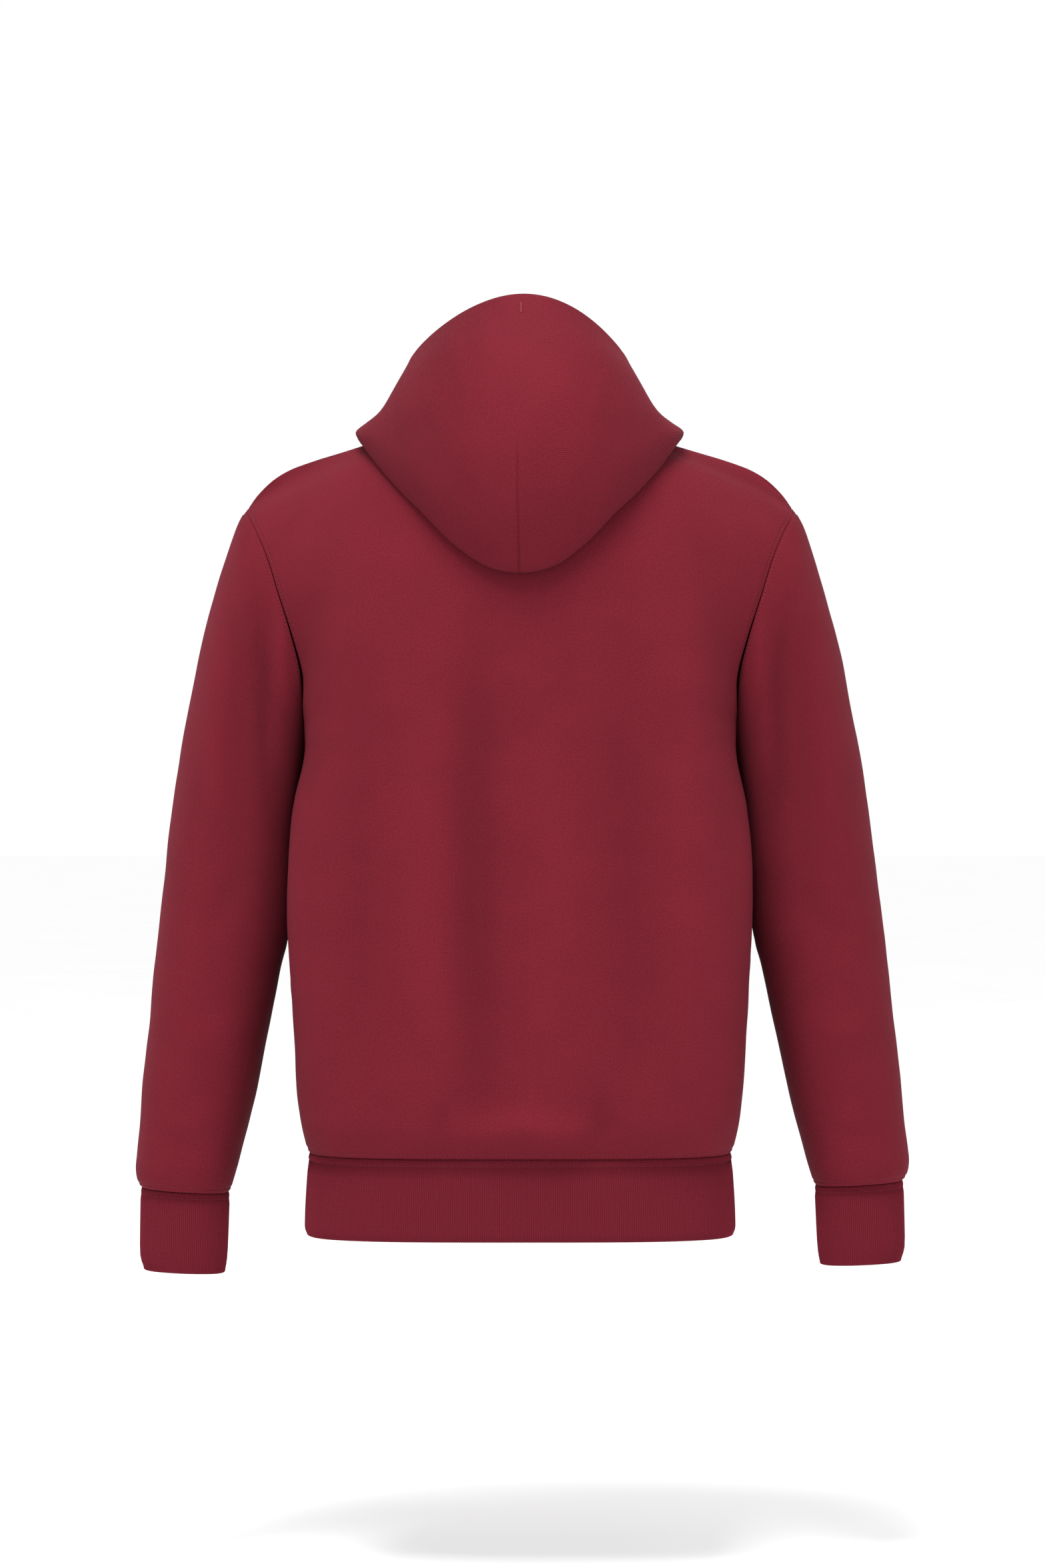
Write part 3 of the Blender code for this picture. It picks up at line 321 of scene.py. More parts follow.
@dataclass(frozen=True)
class BodyPattern:
    """The cut of back and fronts, as control grids on their outer face."""

    side_seam_y: float = -0.012
    underarm_z: float = -0.250
    neck_x: float = 0.088
    neck_z: float = 0.014
    shoulder_tip_x: float = 0.2315
    shoulder_slope: float = 0.29
    shoulder_round_from: float = 0.170
    shoulder_round: float = 110.0
    back_neck: Neckline = Neckline(0.066, 0.034, 1.3)
    front_neck: Neckline = Neckline(-0.118, 0.099, 1.4)
    back_rounding: float = 2.6
    front_rounding: float = 2.2
    back_reach: float = 0.072
    front_reach: float = -0.070
    scoop: float = 0.006
    armhole_curve: float = 1.1
    edge_pull: float = 4.0
    gather: float = 0.09
    gather_reach: float = 0.17
    zip_edge_x: float = 0.0085
    heights: tuple[float, ...] = (-0.593, -0.585, -0.572, -0.545, -0.49, -0.43, -0.37, -0.305, -0.25)
    yoke_steps: tuple[float, ...] = (0.12, 0.24, 0.36, 0.47, 0.58, 0.69, 0.78, 0.87, 0.945, 1.0)
    neck_steps: tuple[int, int] = (8, 9)
    neck_shares: tuple[float, float] = (0.38, 0.42)
    shoulder_steps: int = 9
    fine: int = 240

    def section(self, table: Table, z: float, front: bool) -> np.ndarray:
        """One quarter of a level section, from the panel's middle to the side seam.

        Args:
            table: BODY or BAND.
            z: Height of the section.
            front: Whether it is the front's quarter.

        Returns:
            Points of the curve.
        """
        row = table.at(z)
        depth = -row.front if front else row.back
        square = row.front_square if front else row.back_square
        turn = np.linspace(math.pi / 2, 0, self.fine)
        x = row.half_width * np.cos(turn).clip(0) ** (2 / square)
        y = self.side_seam_y + depth * np.sin(turn).clip(0) ** (2 / square)
        curve = np.stack([x, y, np.full_like(x, z)], axis=1)
        return self.from_zip(curve) if front else curve

    def from_zip(self, curve: np.ndarray) -> np.ndarray:
        """Cut a front curve at the zip's edge.

        Args:
            curve: Points from the middle outwards.

        Returns:
            The part outside the zip.
        """
        kept = curve[curve[:, 0] > self.zip_edge_x]
        first = np.array([np.interp(self.zip_edge_x, curve[:, 0], c) for c in curve.T])
        return np.vstack([first, kept])

    def neck_line(self, front: bool) -> np.ndarray:
        """The neckline from the panel's middle to the shoulder.

        Args:
            front: Whether it is the front's half.

        Returns:
            Points of the line.
        """
        neck = self.front_neck if front else self.back_neck
        turn = np.linspace(0, math.pi / 2, self.fine)
        fall = np.cos(turn).clip(0)
        z = self.neck_z - neck.drop * fall**neck.curve
        curve = np.stack([self.neck_x * np.sin(turn), neck.depth * fall, z], axis=1)
        return self.from_zip(curve) if front else curve

    def shoulder_line(self) -> np.ndarray:
        """The shoulder seam from the neck to the armhole.

        Returns:
            Points of the line.
        """
        x = np.linspace(self.neck_x, self.shoulder_tip_x, self.fine)
        z = self.neck_z - self.shoulder_slope * (x - self.neck_x)
        z = z - self.shoulder_round * (x - self.shoulder_round_from).clip(0) ** 3
        return np.stack([x, 0 * x, z], axis=1)

    def shares(self, front: bool) -> np.ndarray:
        """Where a panel's columns lie, as shares of its width.

        Args:
            front: Whether it is a front.

        Returns:
            Shares from the middle to the side.
        """
        steps, share = self.neck_steps[front], self.neck_shares[front]
        neck = np.linspace(0, share, steps + 1)
        return np.concatenate([neck, np.linspace(share, 1, self.shoulder_steps + 1)[1:]])

    def armhole_point(self, step: float, front: bool) -> np.ndarray:
        """A point of the armhole.

        Args:
            step: 0 at the underarm, 1 at the shoulder tip.
            front: Whether it is the front's half.

        Returns:
            The point.
        """
        swing = math.sin(math.pi * step)
        top = self.shoulder_line()[-1, 2]
        z = self.underarm_z + (top - self.underarm_z) * (1 - math.cos(math.pi * step)) / 2
        reach = self.front_reach if front else self.back_reach
        scoop = self.scoop * swing if front else 0.0
        y = self.side_seam_y * (1 - step) + reach * max(swing, 0.0) ** self.armhole_curve
        return np.array([ARMHOLE.at(z).x - scoop, y, z])

    def top_line(self, front: bool, shares: np.ndarray) -> np.ndarray:
        """The neckline and shoulder seam as one line.

        Args:
            front: Whether it is the front's half.
            shares: Where to read, as shares of the panel's width.

        Returns:
            Points of the line.
        """
        neck = along(self.neck_line(front), np.linspace(0, 1, self.neck_steps[front] + 1))
        shoulder = along(self.shoulder_line(), np.linspace(0, 1, self.shoulder_steps + 1))
        line = np.vstack([neck, shoulder[1:]])
        return np.stack([np.interp(shares, self.shares(front), c) for c in line.T], axis=1)

    def yoke_row(self, base: np.ndarray, top: np.ndarray, step: float, front: bool) -> np.ndarray:
        """A row above the underarm, from the panel's middle to the armhole.

        Args:
            base: The underarm's section.
            top: The neckline and shoulder.
            step: 0 at the underarm, 1 at the top.
            front: Whether it is the front's half.

        Returns:
            Points of the row.
        """
        rounding = self.front_rounding if front else self.back_rounding
        rise = (1 - math.cos(math.pi * step)) / 2
        bow = max(1 - rise**rounding, 0.0) ** (1 / rounding)
        end = self.armhole_point(step, front)
        spread = (ARMHOLE.at(end[2]).x - base[-1, 0]) / (top[-1, 0] - base[-1, 0])
        row = base + (top - base) * np.array([spread, 1 - bow, rise])
        before = row[abs(row[:, 1]) > abs(end[1]) + 1e-6]
        after = row[len(before)] if len(before) < len(row) else row[-1]
        gap = max(abs(before[-1, 1]) - abs(after[1]), 1e-9)
        share = min((abs(before[-1, 1]) - abs(end[1])) / gap, 1.0)
        row = along(np.vstack([before, before[-1] + (after - before[-1]) * share]), self.shares(front))
        return row + self.shares(front)[:, None] ** self.edge_pull * (end - row[-1])

    def half(self, front: bool) -> np.ndarray:
        """Half a panel: rows from the waist up, columns from the middle out.

        Args:
            front: Whether it is a front.

        Returns:
            A grid of points.
        """
        shares, rows = self.shares(front), []
        for z in self.heights:
            near = max(1 - (self.underarm_z - z) / self.gather_reach, 0.0)
            places = shares * (1 - self.gather * near**2)
            places[-1] = 1.0
            rows.append(along(self.section(BODY, z, front), places))
        fine = np.linspace(0, 1, self.fine)
        base = along(self.section(BODY, self.underarm_z, front), fine)
        top = self.top_line(front, fine)
        rows += [self.yoke_row(base, top, step, front) for step in self.yoke_steps[:-1]]
        return np.array([*rows, self.top_line(front, shares)])

    def neck_ring(self) -> np.ndarray:
        """The neckline all round, from the right of the zip round the back to its left.

        Returns:
            Points of the line.
        """
        front = self.top_line(True, self.shares(True)[: self.neck_steps[1]])
        back = self.top_line(False, self.shares(False)[: self.neck_steps[0] + 1])
        return np.vstack([front * MIRROR, back[::-1] * MIRROR, back[1:], front[::-1]])


PATTERN = BodyPattern()


def ring_points(table: Table, section: float, turns: np.ndarray) -> np.ndarray:
    """Points round a section of a sleeve or cuff: 0 is its outer side, a quarter turn its back.

    Args:
        table: SLEEVE or CUFF.
        section: Which section.
        turns: Angles round it.

    Returns:
        One point per angle.
    """
    row = table.at(section)
    outer = np.array([row.outer_x, row.middle_y, row.outer_z])
    inner = np.array([row.inner_x, row.middle_y, row.inner_z])
    c, s = np.cos(turns), np.sin(turns)
    power = 2 / row.square
    return (
        (outer + inner) / 2
        + (outer - inner) / 2 * (np.sign(c) * abs(c) ** power)[:, None]
        + np.array([0, row.half_depth, 0]) * (np.sign(s) * abs(s) ** power)[:, None]
    )


WRIST_Z = -0.625
MOST_HANG = 1.3  # shares of a Hang, reached below the wrist


def hang(points: np.ndarray, side: Side) -> np.ndarray:
    """Lower and splay an arm, more towards the wrist, on its own side.

    Args:
        points: Points of a left arm.
        side: Where they belong.

    Returns:
        The moved points.
    """
    reach = PATTERN.underarm_z - WRIST_Z
    share = ((PATTERN.underarm_z - points[..., 2]) / reach).clip(0, MOST_HANG)
    moved = points.copy()
    moved[..., 0] += share * HANG[side].outwards
    moved[..., 2] -= share * HANG[side].lower
    moved[..., 0] *= side.value
    return moved


# Outwards and upwards shares: of the crown's offset where the hood stands up from the neck and
# at the crown, and of the way from fold to ridge where it turns.
STAND_SHARE = np.array([0.15, 0.75])
CROWN_SHARE = np.array([0.6, 1.0])
TURN_SHARE = np.array([0.75, 0.42])
NECK_AXIS_Y = -0.020


def hood_profile(neck_point: np.ndarray, steps: int = 15, axis_y: float = NECK_AXIS_Y) -> np.ndarray:
    """One upright section of the hood, from its neck seam to its rim.

    Args:
        neck_point: Where it leaves the neckline.
        steps: Steps along the section.
        axis_y: The middle of the neck, which its angle is taken from.

    Returns:
        Points of the section.
    """
    x, y, z = neck_point
    way = unit(np.array([x, y - axis_y]))
    row = HOOD.at(math.degrees(math.atan2(abs(x), y - axis_y)))
    neck = np.array([math.hypot(x, y - axis_y), z])
    fold = np.array([row.fold_reach, row.fold_z])
    ridge = np.array([row.ridge_reach, row.ridge_z])
    rim = np.array([row.rim_reach, row.rim_z])
    rise = np.array([row.crown_out, row.crown_up])
    stand, crown = neck + rise * STAND_SHARE, neck + rise * CROWN_SHARE
    under = (crown + fold) / 2 + np.array([row.under_out, row.under_up])
    turn = fold + (ridge - fold) * TURN_SHARE
    upper = (ridge + rim) / 2 + np.array([row.bulge, row.bulge])
    flat = smooth_curve([neck, stand, crown, under, fold, turn, ridge, upper, rim], steps + 1)
    lean = np.array([HOOD_LEAN.at(h).sideways for h in flat[:, 1]]) * np.linspace(0, 1, len(flat))
    return np.stack([way[0] * flat[:, 0] + lean, axis_y + way[1] * flat[:, 0], flat[:, 1]], axis=1)


# ---------------------------------------------------------------- folds
class Facing(Enum):
    """Which way a fold's cloth faces, as a sign along Y."""

    FRONT = -1
    BACK = 1
    ANY = 0


FOLD_ENDS = (0.02, 0.98)  # a fold is never quite gone at the ends of its path
FOLD_FADE = 0.6


@dataclass(frozen=True)
class Fold:
    """A soft ridge or trough along a line seen from the front or back, at heights in Z."""

    path: tuple[tuple[float, float], ...]
    width: float
    depth: float
    facing: Facing = Facing.BACK

    def lift(self, points: np.ndarray, normals: np.ndarray) -> np.ndarray:
        """How far the fold moves each point along its normal.

        Args:
            points: A grid of points.
            normals: The normal at each.

        Returns:
            One distance per point, inwards where negative.
        """
        flat = points[..., [0, 2]]
        line = np.array(self.path)
        nearest = np.full(flat.shape[:-1], np.inf)
        fade = np.zeros(flat.shape[:-1])
        lengths = travelled(line)
        for start, end, before, after in zip(line, line[1:], lengths, lengths[1:]):
            way = end - start
            t = ((flat - start) @ way / (way @ way)).clip(0, 1)
            distance = np.linalg.norm(flat - start - t[..., None] * way, axis=-1)
            place = (before + t * (after - before)) / lengths[-1]
            closer = distance < nearest
            nearest = np.where(closer, distance, nearest)
            swell = np.sin(np.pi * place.clip(*FOLD_ENDS)) ** FOLD_FADE
            fade = np.where(closer, swell, fade)
        lift = self.depth * np.exp(-((nearest / self.width) ** 2)) * fade
        if self.facing is Facing.ANY:
            return lift
        return lift * (normals[..., 1] * self.facing.value).clip(0, 1)


def slack(points: np.ndarray, size: float, depth: float, seed: float) -> np.ndarray:
    """Uneven softness of cloth that holds no crease.

    Args:
        points: A grid of points.
        size: How wide its waves are.
        depth: How far it moves the cloth.
        seed: Shifts the waves, so that two pieces differ.

    Returns:
        One distance per point.
    """
    flat = points.reshape(-1, 3) / size + seed
    values = [noise.noise(Vector(point)) for point in flat]
    return np.array(values).reshape(points.shape[:-1]) * depth


# ---------------------------------------------------------------- sheets of cloth
WIDE_WAVE, FINE_WAVE = 0.055, 0.021  # how wide the cloth's unevenness is
SEAM_FADE = 0.012  # how far from an edge folds have died away
STITCH_PULL, STITCH_REACH = 0.00080, 0.0010  # how deep and how wide topstitching draws cloth down
EDGE_PLACES = np.array([0.0007, 0.0014, 0.0021, 0.0028, 0.0035, 0.0043, 0.0051, 0.0060])
MIDDLE_PLACES = np.array([0.0006, 0.0012, 0.0018, 0.0026, 0.0036])
EDGE_ROOM, MIDDLE_ROOM = 0.001, 0.0005  # least room between those places and the even ones


@dataclass
class Cloth:
    """A fine grid of points on a piece's outer face. Its rows run along the first axis."""

    points: np.ndarray
    closed: bool = False
    turned: bool = False
    full_shade_lift: float = 0.0060
    normals: np.ndarray = field(init=False)
    # Relief per point, which drives the finish's painted shade in troughs and painted highlight on
    # ridges.
    relief: np.ndarray = field(init=False)
    u: np.ndarray = field(init=False)
    v: np.ndarray = field(init=False)

    def __post_init__(self) -> None:
        """Measure the grid's normals and lengths."""
        self.measure()
        self.relief = np.zeros(self.points.shape[:2])
        self.u = np.array([travelled(row) for row in self.points])
        self.v = np.array([travelled(column) for column in self.points.transpose(1, 0, 2)]).T

    @classmethod
    def refined(
        cls,
        control: np.ndarray,
        step: float,
        closed: bool = False,
        turned: bool = False,
        seamed: bool = False,
    ) -> "Cloth":
        """Lay a fine grid smoothly through a coarse one, finer still beside its edges.

        Args:
            control: The coarse grid.
            step: The fine grid's spacing.
            closed: Whether the last column is followed by the first.
            turned: Whether the rows and columns run the other way round, seen from outside.
            seamed: Whether a seam runs down the middle column.

        Returns:
            The fine grid, with its first column repeated at the end where it is closed.
        """
        keys = mean_travel(control)
        fine = smooth_read(control, keys, spaced(keys[-1], step, True)).transpose(1, 0, 2)
        if not closed:
            keys = mean_travel(fine)
            fine = smooth_read(fine, keys, spaced(keys[-1], step, True, seamed))
            return cls(fine.transpose(1, 0, 2), closed, turned)
        lap = 3
        padded = np.concatenate([fine[-lap:], fine, fine[: lap + 1]])
        keys = mean_travel(padded)
        keys = keys - keys[lap]
        around = keys[lap + len(fine)]
        fine = smooth_read(padded, keys, spaced(around, step, False))
        fine[-1] = fine[0]
        return cls(fine.transpose(1, 0, 2), closed, turned)

    def measure(self) -> None:
        """Set the normals from the points as they now are."""
        if self.closed:
            wrapped = np.concatenate([self.points[:, -2:-1], self.points, self.points[:, 1:2]], axis=1)
            across = (wrapped[:, 2:] - wrapped[:, :-2]) / 2
        else:
            across = np.gradient(self.points, axis=1)
        normals = unit(np.cross(across, np.gradient(self.points, axis=0)))
        self.normals = -normals if self.turned else normals

    def move(self, lift: np.ndarray) -> None:
        """Move the points along their normals."""
        self.points = self.points + self.normals * lift[..., None]
        self.measure()

    def dress(self, folds: Sequence[Fold], seed: float, soft: float = 0.0011) -> None:
        """Give the cloth its folds and its unevenness.

        Args:
            folds: The listed folds.
            seed: Shifts the unevenness.
            soft: How far the unevenness moves the cloth.
        """
        lift = sum((fold.lift(self.points, self.normals) for fold in folds), np.zeros(self.u.shape))
        # Fold depth, kept for the knit's painted shade in troughs and painted highlight on ridges.
        self.relief = lift / self.full_shade_lift
        lift = lift + slack(self.points, WIDE_WAVE, soft, seed)
        lift = lift + slack(self.points, FINE_WAVE, soft / 4, seed)
        self.move(lift * self.edge_fade(SEAM_FADE))

    def away(self, edges: str) -> np.ndarray:
        """How far each point is from the nearest of some edges.

        Args:
            edges: Any of b for the first row, t for the last, l and r for the columns.

        Returns:
            One distance per point.
        """
        distances = {
            "b": self.v,
            "t": self.v[-1] - self.v,
            "l": self.u,
            "r": self.u[:, -1:] - self.u,
        }
        return np.min([distances[edge] for edge in edges], axis=0)

    def edge_fade(self, reach: float) -> np.ndarray:
        """Let a change die away towards the piece's edges, so that its seams stay shut."""
        t = (self.away("bt" if self.closed else "btlr") / reach).clip(0, 1)
        return t * t * (3 - 2 * t)

    def roll_edges(self, depth: float, reach: float, edges: str) -> None:
        """Turn edges down into their seams."""
        self.move(-depth * np.exp(-((self.away(edges) / reach) ** 2)))

    def pull_down(self, edge: str, inset: float, above: float = -math.inf) -> None:
        """Draw the cloth down under a line of topstitching."""
        near = np.exp(-(((self.away(edge) - inset) / STITCH_REACH) ** 2))
        self.move(-STITCH_PULL * near * (self.points[..., 2] > above))

    def line(self, edge: str, inset: float) -> tuple[np.ndarray, np.ndarray]:
        """A line across the grid at a distance from one edge.

        Args:
            edge: b, t, l or r, as in away.
            inset: The distance.

        Returns:
            The line's points, and the normal at each.
        """
        across = edge in "lr"
        points = self.points if across else self.points.transpose(1, 0, 2)
        normals = self.normals if across else self.normals.transpose(1, 0, 2)
        lengths = self.u if across else self.v.T
        found = []
        for row, ways, length in zip(points, normals, lengths):
            place = inset if edge in "bl" else length[-1] - inset
            found.append([np.interp(place, length, c) for c in (*row.T, *ways.T)])
        line = np.array(found)
        return line[:, :3], unit(line[:, 3:])

    def mesh(self, name: str, material: Material, level: bool = True) -> bpy.types.Object:
        """Make the grid into an object, with its lengths as UVs in metres.

        Args:
            name: The object's name.
            material: Its finish.
            level: Whether the knit's courses follow the rows, or each column has its own length.

        Returns:
            The object.
        """
        rows, columns = self.u.shape
        across = self.u - self.u[:, columns // 2, None]
        up = np.tile(self.v.mean(axis=1)[:, None], columns) if level else self.v
        bm = bmesh.new()
        uv_layer = bm.loops.layers.uv.new("lengths")
        # The relief goes to the finish as the measure of its painted shade.
        painted_shade_layer = bm.verts.layers.float.new("relief")
        bmesh.ops.create_grid(bm, x_segments=columns - 1, y_segments=rows - 1, size=1.0, calc_uvs=True)
        places = list(np.ndindex(rows, columns))
        bm.verts.ensure_lookup_table()
        for vert, place in zip(bm.verts, places):
            vert.co = self.points[place]
            vert[painted_shade_layer] = self.relief[place]
        for face in bm.faces:
            for loop in face.loops:
                place = places[loop.vert.index]
                loop[uv_layer].uv = (across[place], up[place])
        if self.turned:
            bmesh.ops.reverse_faces(bm, faces=bm.faces)
        if self.closed:
            bmesh.ops.remove_doubles(bm, verts=bm.verts, dist=1e-6)
        return make_object(name, bm, material)


def mean_travel(grid: np.ndarray) -> np.ndarray:
    """Measure along a grid's first axis."""
    steps = np.linalg.norm(np.diff(grid, axis=0), axis=-1).mean(axis=1)
    return np.concatenate([[0.0], np.cumsum(steps)])


def spaced(length: float, step: float, edges: bool, middle: bool = False) -> np.ndarray:
    """Choose distances along a line for a fine grid.

    Args:
        length: The line's length.
        step: The spacing wanted.
        edges: Whether to add closer places at both ends.
        middle: Whether to add closer places about the middle.

    Returns:
        Distances along the line.
    """
    wanted = np.linspace(0, length, max(int(round(length / step)), 8) + 1)
    if edges:
        last = EDGE_PLACES[-1]
        far = wanted[(wanted > last + EDGE_ROOM) & (wanted < length - last - EDGE_ROOM)]
        wanted = np.concatenate([[0, length], EDGE_PLACES, length - EDGE_PLACES, far])
    if middle:
        half = length / 2
        wanted = wanted[abs(wanted - half) > MIDDLE_PLACES[-1] + MIDDLE_ROOM]
        wanted = np.concatenate([wanted, [half], half - MIDDLE_PLACES, half + MIDDLE_PLACES])
    return np.unique(wanted)


# ---------------------------------------------------------------- meshes
def make_object(name: str, bm: bmesh.types.BMesh, material: Material) -> bpy.types.Object:
    """Turn a bmesh into a smooth object in the scene.

    Args:
        name: The object's name.
        bm: Its mesh, which is freed.
        material: Its finish.

    Returns:
        The object.
    """
    mesh = bpy.data.meshes.new(name)
    bm.to_mesh(mesh)
    bm.free()
    mesh.shade_smooth()
    mesh.materials.append(material)
    obj = bpy.data.objects.new(name, mesh)
    bpy.context.scene.collection.objects.link(obj)
    return obj


def thicken(obj: bpy.types.Object, thickness: float) -> None:
    """Give a sheet its thickness, inwards.

    Args:
        obj: The sheet.
        thickness: How thick.
    """
    modifier = obj.modifiers.new("cloth", "SOLIDIFY")
    modifier.thickness = thickness
    modifier.offset = -1.0
    modifier.use_even_offset = False


def wear(obj: bpy.types.Object, slot: str, *nodes: str, body: str = GARMENT) -> None:
    """Put a piece on the garment.

    Args:
        obj: The piece.
        slot: The record's material slot, which is not used.
        nodes: CAD nodes that it stands for.
        body: The CAD body it moves with.
    """
    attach(obj, body)
    if nodes:
        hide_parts(*nodes)
    log.info("%s: %d faces", obj.name, len(obj.data.polygons))


@dataclass(frozen=True)
class Stitching:
    """A line of lockstitch: short raised threads end to end."""

    length: float = 0.0026
    pitch: float = 0.0033
    width: float = 0.00055
    proud: float = 0.00005

    @staticmethod
    def shape() -> bpy.types.Mesh:
        """The rounded thread that every stitch is stamped from.

        Returns:
            A mesh of radius one.
        """
        found = bpy.data.meshes.get("stitch_shape")
        if found is not None:
            return found
        bm = bmesh.new()
        bmesh.ops.create_icosphere(bm, subdivisions=1, radius=1.0)
        mesh = bpy.data.meshes.new("stitch_shape")
        bm.to_mesh(mesh)
        bm.free()
        return mesh

    def sew(self, bm: bmesh.types.BMesh, line: np.ndarray, normals: np.ndarray) -> None:
        """Add the stitches along a line.

        Args:
            bm: Where they go.
            line: The line's points.
            normals: The way out of the cloth at each.
        """
        lengths = travelled(line)
        count = max(int(lengths[-1] / self.pitch), 1)
        middles = (np.arange(count) + 0.5) * lengths[-1] / count
        ends = np.stack([middles - self.length / 2, middles + self.length / 2])
        starts, stops = (np.stack([np.interp(e, lengths, c) for c in line.T], axis=1) for e in ends)
        outs = np.stack([np.interp(middles, lengths, c) for c in normals.T], axis=1)
        for start, stop, out in zip(starts, stops, unit(outs)):
            self.stitch(bm, Vector(start), Vector(stop), Vector(out))

    def stitch(self, bm: bmesh.types.BMesh, start: Vector, stop: Vector, out: Vector) -> None:
        """Add one stitch.

        Args:
            bm: Where it goes.
            start: Where it leaves the cloth.
            stop: Where it goes back in.
            out: The way out of the cloth.
        """
        way = stop - start
        ahead = way.normalized()
        side = out.cross(ahead).normalized()
        turn = Matrix((ahead, side, ahead.cross(side))).transposed().to_4x4()
        size = Matrix.Diagonal((way.length / 2, self.width / 2, self.width / 2, 1))
        place = Matrix.Translation((start + stop) / 2 + out * self.proud)
        stamp = self.shape().copy()
        stamp.transform(place @ turn @ size)
        bm.from_mesh(stamp)
        bpy.data.meshes.remove(stamp)


# ---------------------------------------------------------------- finishes
class Nodes:
    """A material's node tree, with short ways to add and join nodes."""

    def __init__(self, name: str) -> None:
        """Start a material.

        Args:
            name: Its name.
        """
        self.material = bpy.data.materials.new(name)
        self.material.use_nodes = True
        self.tree = self.material.node_tree
        self.shader = self.tree.nodes["Principled BSDF"]

    def add(self, kind: str, **settings: object) -> bpy.types.Node:
        """Add a node.

        Args:
            kind: Its type, without the leading ShaderNode.
            settings: Its properties.

        Returns:
            The node.
        """
        node = self.tree.nodes.new(f"ShaderNode{kind}")
        for name, value in settings.items():
            setattr(node, name, value)
        return node

    def join(self, source: Socket, target: Socket) -> None:
        """Link two sockets."""
        self.tree.links.new(source, target)

    def feed(self, name: str, source: Socket) -> None:
        """Link a socket to the shader."""
        self.join(source, self.shader.inputs[name])

    def lengths(self, turn: float = 0.0) -> Socket:
        """The piece's UVs, which are lengths in metres.

        Args:
            turn: Turns them, in radians.

        Returns:
            The coordinates.
        """
        mapping = self.add("Mapping")
        mapping.inputs["Rotation"].default_value = (0, 0, turn)
        self.join(self.add("UVMap", uv_map="lengths").outputs["UV"], mapping.inputs["Vector"])
        return mapping.outputs["Vector"]

    def object_place(self) -> Socket:
        """The object's own coordinates."""
        return self.add("TexCoord").outputs["Object"]

    def wave(self, place: Socket, across: str, **inputs: float) -> Socket:
        """Even bands.

        Args:
            place: Its coordinates.
            across: The axis that the bands follow one another along.
            inputs: Its inputs by name, with underscores for spaces.

        Returns:
            Its value.
        """
        node = self.add("TexWave", wave_type="BANDS", bands_direction=across, wave_profile="SIN")
        for name, value in inputs.items():
            node.inputs[name.replace("_", " ")].default_value = value
        self.join(place, node.inputs["Vector"])
        return node.outputs["Fac"]

    def noise(self, place: Socket, size: float, detail: float = 2.0) -> Socket:
        """Noise of a given size.

        Args:
            place: Its coordinates.
            size: The size of its spots, in metres.
            detail: Its detail.

        Returns:
            Its value.
        """
        node = self.add("TexNoise")
        node.inputs["Scale"].default_value = 1 / size
        node.inputs["Detail"].default_value = detail
        self.join(place, node.inputs["Vector"])
        return node.outputs["Fac"]

    def ramp(
        self,
        value: Socket,
        low: Triple,
        high: Triple,
        ends: tuple[float, float] = (0.3, 0.7),
    ) -> Socket:
        """A colour between two, by a value.

        Args:
            value: What chooses it.
            low: The colour at its low end.
            high: The colour at its high end.
            ends: The values where each is reached.

        Returns:
            The colour.
        """
        node = self.add("ValToRGB")
        elements = node.color_ramp.elements
        for element, colour, place in zip(elements, (low, high), ends):
            element.position = place
            element.color = (*colour, 1)
        self.join(value, node.inputs["Fac"])
        return node.outputs["Color"]

    def relief(self, low: Triple, high: Triple, ends: tuple[float, float]) -> Socket:
        """A painted shade and highlight: a colour by how deep in a fold or a rib the cloth lies.

        Args:
            low: The painted shade's colour in its depth.
            high: The colour on its ridge, a painted highlight where above one.
            ends: The relief at each.

        Returns:
            The colour.
        """
        share = self.add("MapRange")
        share.inputs["From Min"].default_value, share.inputs["From Max"].default_value = ends
        # The stored relief chooses how much painted shade or painted highlight falls here.
        depth = self.add("Attribute", attribute_name="relief", attribute_type="GEOMETRY")
        self.join(depth.outputs["Fac"], share.inputs["Value"])
        mix, colours, mixed = self.mix()
        for socket, colour in zip(colours, (low, high)):
            socket.default_value = (*colour, 1)
        self.join(share.outputs["Result"], mix.inputs["Factor"])
        return mixed

    def mix(self, **settings: object) -> tuple[bpy.types.Node, list[Socket], Socket]:
        """Add a node that mixes two colours.

        Args:
            settings: Its properties.

        Returns:
            The node, its two colours' inputs and its colour's output.
        """
        node = self.add("Mix", data_type="RGBA", **settings)
        colours = [socket for socket in node.inputs if socket.type == "RGBA"]
        return node, colours, next(socket for socket in node.outputs if socket.type == "RGBA")

    def multiply(self, a: Socket, b: Socket) -> Socket:
        """Multiply two colours.

        Args:
            a: One.
            b: The other.

        Returns:
            Their product.
        """
        node, colours, product = self.mix(blend_type="MULTIPLY")
        node.inputs["Factor"].default_value = 1.0
        for source, target in zip((a, b), colours):
            self.join(source, target)
        return product

    def bump(
        self,
        height: Socket,
        depth: float,
        strength: float = 1.0,
        over: Socket | None = None,
    ) -> Socket:
        """Relief from a height.

        Args:
            height: The height, from 0 to 1.
            depth: How deep it is, in metres.
            strength: How much of it shows.
            over: A relief that it lies on.

        Returns:
            The normal.
        """
        node = self.add("Bump")
        node.inputs["Distance"].default_value = depth
        node.inputs["Strength"].default_value = strength
        self.join(height, node.inputs["Height"])
        if over is not None:
            self.join(over, node.inputs["Normal"])
        return node.outputs["Normal"]

    def nap(self) -> None:
        """Give the shader the surface of a matt knit with a little nap."""
        self.set(Roughness=0.95, Specular_IOR_Level=0.10, Sheen_Weight=0.05, Sheen_Roughness=0.40)
        self.set(Sheen_Tint=(0.70, 0.16, 0.22, 1.0))

    def set(self, **values: float | tuple[float, ...]) -> None:
        """Set constants on the shader."""
        for name, value in values.items():
            self.shader.inputs[name.replace("_", " ")].default_value = value


